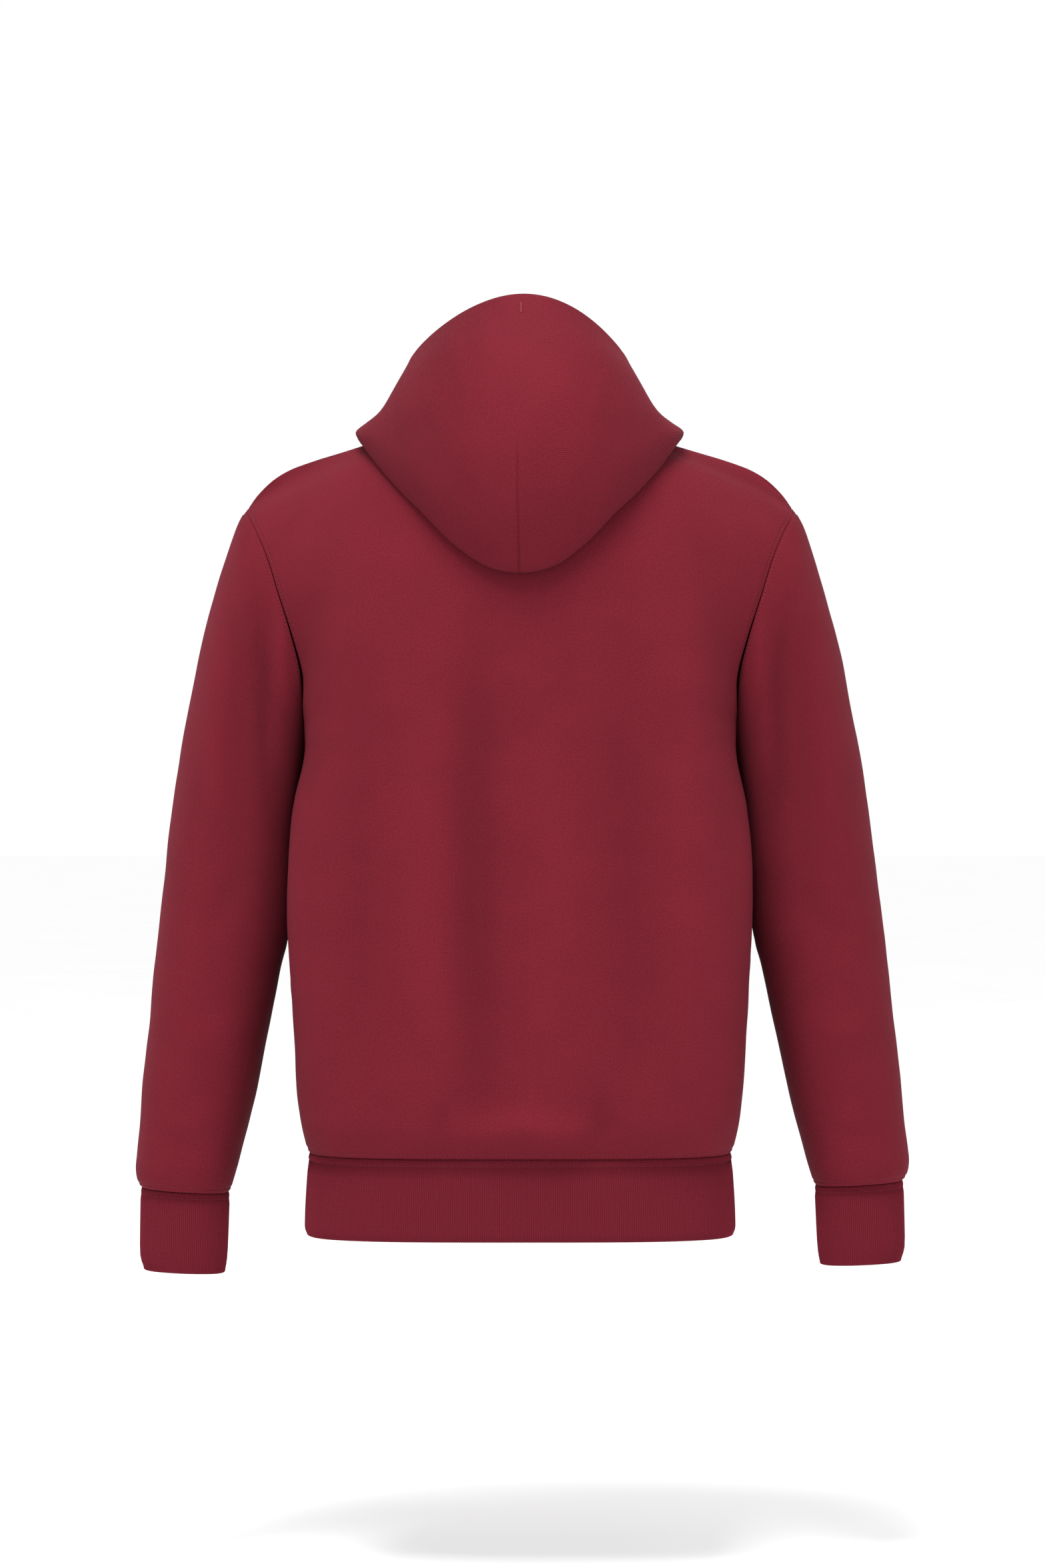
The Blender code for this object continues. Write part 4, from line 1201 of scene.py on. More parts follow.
@dataclass(frozen=True)
class Finish:
    """What every finish has: a name, and a build that gives the shader its look."""

    name: str

    def build(self) -> Material:
        """Make the material.

        Returns:
            The material.
        """
        nodes = Nodes(self.name)
        self.shade(nodes)
        return nodes.material

    def shade(self, nodes: Nodes) -> None:
        """Set the shader."""
        raise NotImplementedError


@dataclass(frozen=True)
class BrushedKnit(Finish):
    """Matt cotton fleece: a fine diagonal of loops, a slight heather and a soft nap, with painted
    shade in its folds and a painted highlight on their ridges.
    """

    name: str = "brushed_knit"
    dark: Triple = (0.129, 0.0088, 0.0174)
    light: Triple = (0.172, 0.0130, 0.0245)
    course: float = 0.0013
    diagonal: float = math.radians(55)
    relief: float = 0.00022
    heather: float = 0.0016
    cloud: float = 0.045
    fuzz: float = 0.0006

    def shade(self, nodes: Nodes) -> None:
        """Give the shader this finish."""
        place = nodes.lengths()
        heather = nodes.noise(place, self.heather, 3.0)
        cloudy = nodes.noise(place, self.cloud)
        colour = nodes.ramp(heather, self.dark, self.light, (0.25, 0.75))
        shade = nodes.ramp(cloudy, (0.93,) * 3, (1.0,) * 3)
        scale = 1 / self.course / (2 * math.pi) * 2
        diagonal = nodes.lengths(self.diagonal)
        wave = nodes.wave(diagonal, "X", Scale=scale, Distortion=2.2, Detail=2.0, Detail_Scale=1.6)
        loops = nodes.ramp(wave, (0.86,) * 3, (1.0,) * 3, (0.0, 0.7))
        colour = nodes.multiply(nodes.multiply(colour, shade), loops)
        # Painted shade in the folds' troughs and a painted highlight on their ridges.
        colour = nodes.multiply(colour, nodes.relief((0.80,) * 3, (1.09,) * 3, (-1.0, 1.0)))
        nodes.feed("Base Color", colour)
        relief = nodes.bump(wave, self.relief)
        fuzz = nodes.noise(place, self.fuzz, 3.0)
        nodes.feed("Normal", nodes.bump(fuzz, self.relief, 0.6, relief))
        nodes.nap()


@dataclass(frozen=True)
class RibKnit(Finish):
    """1x1 rib: its ribs are in the mesh, and their loops and the painted shade between them are here.
    """

    name: str = "rib_knit"
    dark: Triple = (0.130, 0.0096, 0.0188)
    light: Triple = (0.175, 0.0138, 0.0266)
    loop: float = 0.0012
    loop_depth: float = 0.00012
    heather: float = 0.0013
    fuzz: float = 0.0006
    fuzz_depth: float = 0.00016

    def shade(self, nodes: Nodes) -> None:
        """Give the shader this finish."""
        place = nodes.lengths()
        heather = nodes.noise(place, self.heather, 3.0)
        colour = nodes.ramp(heather, self.dark, self.light, (0.25, 0.75))
        # Painted shade in the grooves between the ribs.
        deep = nodes.relief((0.55, 0.52, 0.52), (1.0,) * 3, (-1.0, 0.0))
        nodes.feed("Base Color", nodes.multiply(colour, deep))
        scale = 1 / self.loop / math.pi
        wave = nodes.wave(place, "Y", Scale=scale, Distortion=1.0, Detail=1.0)
        relief = nodes.bump(wave, self.loop_depth)
        fuzz = nodes.noise(place, self.fuzz, 3.0)
        nodes.feed("Normal", nodes.bump(fuzz, self.fuzz_depth, 0.6, relief))
        nodes.nap()


@dataclass(frozen=True)
class WovenTape(Finish):
    """Zip tape: a tight ribbed weave, a little smoother than the knit."""

    name: str = "zip_tape"
    colour: Triple = (0.150, 0.0140, 0.0220)
    yarn: float = 0.0008
    warp: tuple[float, float] = (700.0, 0.0001)
    weft: tuple[float, float] = (420.0, 0.00015)

    def shade(self, nodes: Nodes) -> None:
        """Give the shader this finish."""
        place = nodes.lengths()
        low = tuple(c * 0.82 for c in self.colour)
        nodes.feed("Base Color", nodes.ramp(nodes.noise(place, self.yarn), low, self.colour))
        (warp_scale, warp_depth), (weft_scale, weft_depth) = self.warp, self.weft
        warp = nodes.bump(nodes.wave(place, "X", Scale=warp_scale), warp_depth)
        weft = nodes.wave(place, "Y", Scale=weft_scale)
        nodes.feed("Normal", nodes.bump(weft, weft_depth, 1.0, warp))
        nodes.set(Roughness=0.78, Specular_IOR_Level=0.3)


@dataclass(frozen=True)
class SewingThread(Finish):
    """Spun polyester thread, a shade lighter than the cloth."""

    name: str = "sewing_thread"
    colour: Triple = (0.215, 0.018, 0.030)
    ply: float = 0.0012
    fuzz: float = 0.0004
    fuzz_depth: float = 0.0001

    def shade(self, nodes: Nodes) -> None:
        """Give the shader this finish."""
        place = nodes.object_place()
        low = tuple(c * 0.8 for c in self.colour)
        nodes.feed("Base Color", nodes.ramp(nodes.noise(place, self.ply), low, self.colour))
        nodes.feed("Normal", nodes.bump(nodes.noise(place, self.fuzz), self.fuzz_depth))
        nodes.set(Roughness=0.7, Specular_IOR_Level=0.35)


@dataclass(frozen=True)
class ZipMetal(Finish):
    """Plated zip metal, dulled unevenly by handling."""

    name: str = "zip_metal"
    dark: Triple = (0.22, 0.21, 0.20)
    light: Triple = (0.42, 0.41, 0.39)
    rough: tuple[float, float] = (0.22, 0.46)
    worn: float = 0.006
    smudge: float = 0.0015
    scratch: float = 0.0005
    scratch_depth: float = 0.00002

    def shade(self, nodes: Nodes) -> None:
        """Give the shader this finish."""
        place = nodes.object_place()
        worn = nodes.noise(place, self.worn, 4.0)
        nodes.feed("Base Color", nodes.ramp(worn, self.dark, self.light))
        rough = nodes.add("MapRange")
        rough.inputs["To Min"].default_value, rough.inputs["To Max"].default_value = self.rough
        nodes.join(nodes.noise(place, self.smudge, 3.0), rough.inputs["Value"])
        nodes.feed("Roughness", rough.outputs["Result"])
        nodes.feed("Normal", nodes.bump(nodes.noise(place, self.scratch), self.scratch_depth))
        nodes.set(Metallic=1.0)


@dataclass(frozen=True)
class PaleFloor(Finish):
    """Plain matt white."""

    name: str = "pale_floor"
    colour: Triple = (0.98, 0.98, 0.98)
    patch: float = 0.4

    def shade(self, nodes: Nodes) -> None:
        """Give the shader this finish."""
        near = tuple(c * 0.985 for c in self.colour)
        spots = nodes.noise(nodes.object_place(), self.patch)
        nodes.feed("Base Color", nodes.ramp(spots, near, self.colour))
        nodes.set(Roughness=1.0, Specular_IOR_Level=0.0)


@dataclass
class Finishes:
    """Every finish of the hoodie, made once."""

    knit: Material = field(default_factory=lambda: BrushedKnit().build())
    rib: Material = field(default_factory=lambda: RibKnit().build())
    tape: Material = field(default_factory=lambda: WovenTape().build())
    thread: Material = field(default_factory=lambda: SewingThread().build())
    metal: Material = field(default_factory=lambda: ZipMetal().build())


# ---------------------------------------------------------------- back and fronts
BACK_FOLDS = (
    Fold(((0.032, -0.150), (0.036, -0.330), (0.031, -0.580)), 0.017, -0.0068),
    Fold(((0.074, -0.200), (0.077, -0.400), (0.068, -0.560)), 0.021, 0.0034),
    Fold(((-0.022, -0.240), (-0.030, -0.400), (-0.024, -0.570)), 0.024, 0.0028),
    Fold(((-0.086, -0.180), (-0.094, -0.360), (-0.084, -0.560)), 0.022, -0.0036),
    Fold(((0.128, -0.150), (0.135, -0.330), (0.130, -0.520)), 0.020, -0.0034),
    Fold(((-0.138, -0.150), (-0.142, -0.330), (-0.136, -0.500)), 0.019, 0.0026),
    Fold(((0.044, -0.572), (-0.004, -0.562), (-0.052, -0.574)), 0.013, 0.0058),
    Fold(((-0.062, -0.540), (-0.068, -0.562), (-0.062, -0.588)), 0.009, -0.0036),
    Fold(((0.060, -0.545), (0.066, -0.565), (0.062, -0.588)), 0.009, -0.0030),
    Fold(((0.183, -0.190), (0.186, -0.270), (0.190, -0.450)), 0.009, 0.0042, Facing.ANY),
    Fold(((-0.183, -0.190), (-0.186, -0.270), (-0.190, -0.430)), 0.009, 0.0040, Facing.ANY),
    Fold(((0.150, -0.090), (0.172, -0.150), (0.170, -0.230)), 0.014, -0.0030),
    Fold(((-0.148, -0.086), (-0.170, -0.150), (-0.168, -0.240)), 0.013, -0.0030),
)
FRONT_FOLDS = (
    Fold(((0.058, -0.180), (0.064, -0.340), (0.052, -0.540)), 0.020, -0.0034, Facing.FRONT),
    Fold(((0.104, -0.200), (0.112, -0.380), (0.100, -0.550)), 0.022, 0.0026, Facing.FRONT),
    Fold(((0.142, -0.120), (0.150, -0.220), (0.128, -0.360)), 0.018, -0.0030, Facing.FRONT),
    Fold(((-0.052, -0.200), (-0.061, -0.360), (-0.056, -0.550)), 0.021, -0.0030, Facing.FRONT),
    Fold(((-0.098, -0.170), (-0.107, -0.340), (-0.101, -0.530)), 0.024, 0.0024, Facing.FRONT),
    Fold(((-0.140, -0.130), (-0.151, -0.230), (-0.134, -0.390)), 0.017, -0.0028, Facing.FRONT),
    Fold(((0.030, -0.566), (0.060, -0.560), (0.090, -0.570)), 0.014, 0.0030, Facing.FRONT),
    Fold(((-0.040, -0.570), (-0.070, -0.562), (-0.096, -0.568)), 0.013, 0.0028, Facing.FRONT),
)


@dataclass
class Seams:
    """The garment's stitching, gathered in one mesh."""

    finishes: Finishes
    single: Stitching = Stitching()
    close: Stitching = Stitching(width=0.0008, proud=0.0003)
    close_pitch: float = 0.0006
    start_gap: float = 0.002
    bm: bmesh.types.BMesh = field(default_factory=bmesh.new)

    def sew(self, cloth: Cloth, edge: str, inset: float, above: float = -math.inf) -> None:
        """Sew along an edge of a sheet.

        Args:
            cloth: The sheet.
            edge: Which edge, as in Cloth.away.
            inset: How far in from it.
            above: The height above which it is sewn.
        """
        cloth.pull_down(edge, inset, above)
        line, normals = cloth.line(edge, inset)
        high = line[:, 2] > above + self.start_gap
        self.single.sew(self.bm, line[high], normals[high])

    def tack(self, centre: Vector, out: Vector, height: float, width: float) -> None:
        """A bar tack: short level threads close together, one above another.

        Args:
            centre: Its middle.
            out: The way out of the cloth.
            height: Its height.
            width: Its width.
        """
        up = (Vector((0, 0, 1)) - out * out.z).normalized()
        across = up.cross(out).normalized() * width / 2
        for step in np.linspace(-height / 2, height / 2, int(height / self.close_pitch)):
            middle = centre + up * step
            self.close.stitch(self.bm, middle - across, middle + across, out)

    def finish(self) -> None:
        """Make the stitching into its piece."""
        wear(make_object("seam_stitching", self.bm, self.finishes.thread), "brushed_knit")


@dataclass
class BodyCloth:
    """Back and fronts in brushed knit."""

    finishes: Finishes
    seams: Seams
    step: float = 0.0046
    thickness: float = 0.0016
    seam_depth: float = 0.0013
    seam_reach: float = 0.0021
    zip_edge: tuple[float, float] = (0.0006, 0.0010)
    back_seed: float = 3.1
    front_seed: float = 7.7
    waist_stitch: float = 0.0045
    armhole_stitch: float = 0.0030
    zip_stitch: float = 0.0060

    def build(self) -> None:
        """Make the three panels."""
        back = PATTERN.half(False)
        self.panel("back_cloth", np.concatenate([back[:, :0:-1], back * MIRROR], axis=1), "back_panel")
        front = PATTERN.half(True)
        self.panel("front_left_cloth", front, "front_left")
        self.panel("front_right_cloth", front * MIRROR, "front_right", turned=True)

    def panel(self, name: str, control: np.ndarray, node: str, turned: bool = False) -> None:
        """Make one panel.

        Args:
            name: The piece's name.
            control: Its control grid.
            node: The CAD node that it stands for.
            turned: Whether its columns run the other way round.
        """
        is_back = node == "back_panel"
        cloth = Cloth.refined(control, self.step, turned=turned)
        seed = self.back_seed if is_back else self.front_seed + len(name)
        cloth.dress(BACK_FOLDS if is_back else FRONT_FOLDS, seed)
        cloth.roll_edges(self.seam_depth, self.seam_reach, "btlr" if is_back else "btr")
        if not is_back:
            cloth.roll_edges(*self.zip_edge, "l")
            self.seams.sew(cloth, "l", self.zip_stitch)
        self.seams.sew(cloth, "b", self.waist_stitch)
        for edge in "lr" if is_back else "r":
            self.seams.sew(cloth, edge, self.armhole_stitch, PATTERN.underarm_z)
        obj = cloth.mesh(name, self.finishes.knit)
        thicken(obj, self.thickness)
        wear(obj, "brushed_knit", node)


# ---------------------------------------------------------------- sleeves
SLEEVE_FOLDS = {
    Side.LEFT: (
        Fold(((0.252, -0.125), (0.257, -0.241), (0.259, -0.31)), 0.009, 0.0024),
        Fold(((0.216, -0.12), (0.208, -0.23), (0.206, -0.3)), 0.012, -0.0042),
        Fold(((0.196, -0.14), (0.199, -0.22), (0.203, -0.29)), 0.008, 0.0034),
        Fold(((0.19, -0.2), (0.1925, -0.29), (0.197, -0.42)), 0.009, 0.0038, Facing.ANY),
        Fold(((0.238, -0.13), (0.233, -0.24), (0.23, -0.36)), 0.012, -0.0022),
        Fold(((0.223, -0.35), (0.25, -0.39), (0.276, -0.4)), 0.014, -0.0018),
        Fold(((0.23, -0.48), (0.26, -0.5), (0.3, -0.495)), 0.014, 0.0016),
        Fold(((0.242, -0.57), (0.27, -0.586), (0.315, -0.576)), 0.01, -0.0014),
        Fold(((0.26, -0.13), (0.264, -0.26), (0.264, -0.36)), 0.014, -0.0028, Facing.FRONT),
        Fold(((0.223, -0.15), (0.218, -0.25), (0.22, -0.36)), 0.012, 0.0026, Facing.FRONT),
        Fold(((0.225, -0.365), (0.255, -0.39), (0.29, -0.385)), 0.014, -0.0026, Facing.FRONT),
        Fold(((0.23, -0.405), (0.258, -0.43), (0.29, -0.428)), 0.012, 0.0024, Facing.FRONT),
        Fold(((0.24, -0.55), (0.27, -0.57), (0.31, -0.565)), 0.011, -0.0016, Facing.FRONT),
    ),
    Side.RIGHT: (
        Fold(((-0.25, -0.125), (-0.258, -0.23), (-0.264, -0.33)), 0.011, 0.002),
        Fold(((-0.219, -0.115), (-0.211, -0.22), (-0.208, -0.31)), 0.011, -0.004),
        Fold(((-0.197, -0.145), (-0.1995, -0.23), (-0.205, -0.3)), 0.008, 0.0032),
        Fold(((-0.19, -0.2), (-0.1925, -0.29), (-0.1975, -0.42)), 0.009, 0.0038, Facing.ANY),
        Fold(((-0.239, -0.14), (-0.235, -0.26), (-0.237, -0.39)), 0.013, -0.002),
        Fold(((-0.226, -0.37), (-0.254, -0.4), (-0.284, -0.412)), 0.013, -0.0018),
        Fold(((-0.234, -0.47), (-0.265, -0.495), (-0.305, -0.485)), 0.014, 0.0016),
        Fold(((-0.245, -0.565), (-0.275, -0.58), (-0.316, -0.573)), 0.01, -0.0014),
        Fold(((-0.257, -0.135), (-0.262, -0.25), (-0.268, -0.37)), 0.013, -0.0026, Facing.FRONT),
        Fold(((-0.221, -0.15), (-0.219, -0.26), (-0.223, -0.35)), 0.012, 0.0024, Facing.FRONT),
        Fold(((-0.228, -0.378), (-0.26, -0.405), (-0.293, -0.398)), 0.014, -0.0026, Facing.FRONT),
        Fold(((-0.233, -0.42), (-0.262, -0.443), (-0.295, -0.442)), 0.012, 0.0022, Facing.FRONT),
        Fold(((-0.243, -0.545), (-0.274, -0.562), (-0.312, -0.558)), 0.011, -0.0016, Facing.FRONT),
    ),
}


@dataclass
class Sleeve:
    """A set-in sleeve, from its armhole seam to its cuff seam."""

    side: Side
    finishes: Finishes
    seams: Seams
    step: float = 0.0044
    thickness: float = 0.0016
    seam_depth: float = 0.0014
    seam_reach: float = 0.0022
    armhole_stitch: float = 0.0030
    cuff_stitch: float = 0.0045
    seed: float = 11.3

    def control(self) -> np.ndarray:
        """The sleeve's control grid: rings from the armhole down.

        Returns:
            The grid.
        """
        steps = (0.0, *PATTERN.yoke_steps)
        ring = [PATTERN.armhole_point(step, False) for step in steps[::-1]]
        ring += [PATTERN.armhole_point(step, True) for step in steps[1:-1]]
        turns = np.arange(len(ring)) * 2 * math.pi / len(ring)
        rows = [np.array(ring)] + [ring_points(SLEEVE, section, turns) for section in SLEEVE.keys]
        return hang(np.array(rows), self.side)

    def build(self) -> None:
        """Make the sleeve."""
        cloth = Cloth.refined(self.control(), self.step, closed=True, turned=self.side is Side.LEFT)
        cloth.dress(SLEEVE_FOLDS[self.side], self.seed + self.side.value)
        cloth.roll_edges(self.seam_depth, self.seam_reach, "bt")
        self.seams.sew(cloth, "b", self.armhole_stitch)
        self.seams.sew(cloth, "t", self.cuff_stitch)
        obj = cloth.mesh(f"sleeve_{self.side.label}_cloth", self.finishes.knit)
        thicken(obj, self.thickness)
        wear(obj, "brushed_knit", f"sleeve_{self.side.label}")


# ---------------------------------------------------------------- hood
HOOD_FOLDS = (
    Fold(((0.060, 0.010), (0.100, 0.000), (0.118, 0.018)), 0.012, -0.0016),
    Fold(((-0.060, 0.012), (-0.098, 0.002), (-0.120, 0.020)), 0.012, -0.0014),
    Fold(((0.050, -0.060), (0.085, -0.030), (0.110, -0.004)), 0.012, 0.0016),
    Fold(((-0.050, -0.062), (-0.084, -0.032), (-0.112, -0.004)), 0.012, 0.0014),
    Fold(((-0.060, 0.040), (0.000, 0.050), (0.060, 0.044)), 0.022, 0.0014),
    Fold(((0.070, 0.030), (0.085, 0.000), (0.080, -0.040)), 0.012, 0.0018, Facing.FRONT),
    Fold(((-0.070, 0.030), (-0.088, 0.002), (-0.078, -0.038)), 0.012, 0.0018, Facing.FRONT),
)


@dataclass
class Hood:
    """The hood, turned down behind the neck, with its dart and its hemmed rim."""

    finishes: Finishes
    seams: Seams
    step: float = 0.0040
    thickness: float = 0.0017
    softness: float = 0.0009
    seed: float = 5.9
    seam: tuple[float, float] = (0.0012, 0.0022)
    rim: tuple[float, float] = (0.0009, 0.0011)
    neck_stitch: float = 0.0035
    hem_stitch: float = 0.0024
    hem_reach: float = 0.0011
    hem_depth: float = 0.0005
    dart_top_z: float = -0.010
    dart_fade: float = 0.004
    dart_width: float = 0.0009
    dart_depth: float = 0.0017
    outer_from: float = 0.38
    roll: float = 0.0110
    roll_above: float = 1.8
    roll_facing: float = 1.5
    keel: float = 0.0060
    keel_reach: float = 0.034
    keel_z: float = -0.050
    keel_height: float = 0.045
    keel_curve: float = 1.3
    tack_z: float = 0.1050
    tack_height: float = 0.0125
    tack_width: float = 0.0024

    def build(self) -> None:
        """Make the hood."""
        control = np.array([hood_profile(point) for point in PATTERN.neck_ring()]).transpose(1, 0, 2)
        cloth = Cloth.refined(control, self.step, turned=True, seamed=True)
        self.roll_under(cloth)
        cloth.dress(HOOD_FOLDS, self.seed, self.softness)
        self.dart(cloth)
        cloth.roll_edges(*self.seam, "b")
        cloth.roll_edges(*self.rim, "tlr")
        hem = np.exp(-(((cloth.away("t") - self.hem_stitch) / self.hem_reach) ** 2))
        cloth.move(-self.hem_depth * hem)
        self.seams.sew(cloth, "t", self.hem_stitch)
        self.seams.sew(cloth, "b", self.neck_stitch)
        self.bar_tack(cloth)
        obj = cloth.mesh("hood_cloth", self.finishes.knit, level=False)
        thicken(obj, self.thickness)
        wear(obj, "brushed_knit", "hood")

    def roll_under(self, cloth: Cloth) -> None:
        """Round the pouch off towards its lowest fold.

        Args:
            cloth: The hood's sheet.
        """
        middle = cloth.points[:, cloth.u.shape[1] // 2]
        fold, ridge = int(np.argmin(middle[:, 2])), int(np.argmax(middle[:, 1]))
        length = travelled(middle)
        above = ((length[ridge] - length) / (length[ridge] - length[fold])).clip(0, 1)
        below = (length / length[fold]).clip(0, 1) ** 2
        share = above**self.roll_above * below
        facing = unit(cloth.points[..., :2] - (0, NECK_AXIS_Y))[..., 1].clip(0, 1) ** self.roll_facing
        cloth.points[..., 1] -= self.roll * share[:, None] * facing
        cloth.measure()

    def dart(self, cloth: Cloth) -> None:
        """Draw the cloth into the dart at centre back, a keel with a sewn groove along it.

        Args:
            cloth: The hood's sheet.
        """
        outer = np.arange(len(cloth.points))[:, None] > len(cloth.points) * self.outer_from
        middle = cloth.u.shape[1] // 2
        aside, z = abs(cloth.u - cloth.u[:, middle, None]), cloth.points[..., 2]
        outer = outer * (cloth.normals[..., 1] > 0)
        upright = np.exp(-(((z - self.keel_z) / self.keel_height) ** 2))
        tent = (1 - aside / self.keel_reach).clip(0, 1) ** self.keel_curve
        below = ((self.dart_top_z - z) / self.dart_fade).clip(0, 1)
        groove = np.exp(-((aside / self.dart_width) ** 2)) * below
        cloth.move((self.keel * tent * upright - self.dart_depth * groove) * outer)

    def bar_tack(self, cloth: Cloth) -> None:
        """Tack the rim at the top of centre back.

        Args:
            cloth: The hood's sheet.
        """
        column = cloth.u.shape[1] // 2
        upper = len(cloth.points) // 2
        row = upper + int(np.argmin(abs(cloth.points[upper:, column, 2] - self.tack_z)))
        centre, out = Vector(cloth.points[row, column]), Vector(cloth.normals[row, column])
        self.seams.tack(centre, out, self.tack_height, self.tack_width)


# ---------------------------------------------------------------- ribs
@dataclass(frozen=True)
class RibForm:
    """How a folded rib band is made: two layers, turned at the foot."""

    pitch: float
    stitch: float
    depth: float = 0.00055
    thickness: float = 0.0022
    allowance: float = 0.0060
    seam_depth: float = 0.0009
    seam_reach: float = 0.0022
    points: int = 4
    rows: int = 6

    def flute(self, columns: int) -> np.ndarray:
        """How far in the surface is at each column of the band."""
        return (1 - np.cos(2 * math.pi * np.arange(columns) / self.points)) / 2

    def places(self, length: float) -> np.ndarray:
        """Shares of the band's length, a few to each rib."""
        return np.linspace(0, 1, int(round(length / self.pitch)) * self.points + 1)

    def piece(
        self,
        name: str,
        outer: np.ndarray,
        inwards: np.ndarray,
        closed: bool,
        turned: bool,
        finish: Material,
        seams: "Seams",
    ) -> bpy.types.Object:
        """Make the band from the rows of its outer face.

        Args:
            name: The piece's name.
            outer: Rows of its outer face, from the fold at its foot up to its seam.
            inwards: The way in at each point.
            closed: Whether it is a tube.
            turned: Whether its columns run the other way round.
            finish: Its material.
            seams: Where its stitching goes.

        Returns:
            The object.
        """
        half, up = self.thickness / 2, np.array([0, 0, 1])
        bow = math.sqrt(0.5)
        foot = outer[0] + inwards[0] * half - up * half
        turn = outer[0] + inwards[0] * half * (1 - bow) - up * half * bow
        back = outer[0] + inwards[0] * half * (1 + bow) - up * half * bow
        inner = [row + way * self.thickness for row, way in zip(outer, inwards)]
        tucked = inner[-1] + inwards[-1] * self.thickness / 2 + up * self.allowance
        rows = np.array([tucked, *inner[::-1], back, foot, turn, *outer])
        cloth = Cloth(rows, closed, turned)
        flute = np.tile(self.flute(rows.shape[1]), (len(rows), 1))
        seam = np.exp(-((cloth.away("t") / self.seam_reach) ** 2))
        cloth.move(-self.depth * flute - self.seam_depth * seam)
        seams.sew(cloth, "t", self.stitch)
        # The flute's depth drives the painted shade between the ribs.
        cloth.relief = -flute
        return cloth.mesh(name, finish)


FOOT_SHARES = (0, 0.02, 0.05, 0.09)
MIDDLE_SHARES = (0.15, 0.92)
SEAM_SHARES = (0.95, 0.975, 1.0)


def band_heights(table: Table, rows: int) -> np.ndarray:
    """Keys for a band's rows, closer at its foot and its seam.

    Args:
        table: BAND or CUFF.
        rows: How many rows its middle has.

    Returns:
        The keys.
    """
    low, high = table.keys[0], table.keys[-1]
    share = np.concatenate([FOOT_SHARES, np.linspace(*MIDDLE_SHARES, rows), SEAM_SHARES])
    return low + (high - low) * share


@dataclass
class Waistband:
    """The rib band at the hem, from one side of the zip round the back to the other."""

    finishes: Finishes
    seams: Seams
    form: RibForm = RibForm(pitch=0.00153, stitch=0.0050)

    def build(self) -> None:
        """Make the band."""
        length, outer, inwards = 0.0, [], []
        for z in band_heights(BAND, self.form.rows):
            front, back = PATTERN.section(BAND, z, True), PATTERN.section(BAND, z, False)
            left = np.vstack([front, back[-2::-1]])
            loop = np.vstack([left, (left * MIRROR)[-2::-1]])
            length = length or travelled(loop)[-1]
            points = along(loop, self.form.places(length))
            tangent = unit(np.gradient(points, axis=0))
            normal = np.stack([tangent[:, 1], -tangent[:, 0], 0 * tangent[:, 0]], axis=1)
            normal[[0, -1]] = (0, -1, 0)
            outer.append(points)
            inwards.append(-normal)
        obj = self.form.piece(
            "waistband_rib",
            np.array(outer),
            np.array(inwards),
            closed=False,
            turned=False,
            finish=self.finishes.rib,
            seams=self.seams,
        )
        wear(obj, "rib_knit", "waistband")


@dataclass
class Cuff:
    """A rib cuff, folded double."""

    side: Side
    finishes: Finishes
    seams: Seams
    form: RibForm = RibForm(pitch=0.00165, stitch=0.0046)

    def build(self) -> None:
        """Make the cuff."""
        turns = np.linspace(0, 2 * math.pi, 721)
        length = travelled(ring_points(CUFF, 1.0, turns))[-1]
        outer, inwards = [], []
        for section in band_heights(CUFF, self.form.rows)[::-1]:
            ring = along(ring_points(CUFF, section, turns), self.form.places(length))
            ring = hang(ring, self.side)
            outer.append(ring)
            inwards.append(unit(ring[:-1].mean(axis=0) - ring))
        obj = self.form.piece(
            f"cuff_{self.side.label}_rib",
            np.array(outer),
            np.array(inwards),
            closed=True,
            turned=self.side is Side.RIGHT,
            finish=self.finishes.rib,
            seams=self.seams,
        )
        wear(obj, "rib_knit", f"cuff_{self.side.label}")


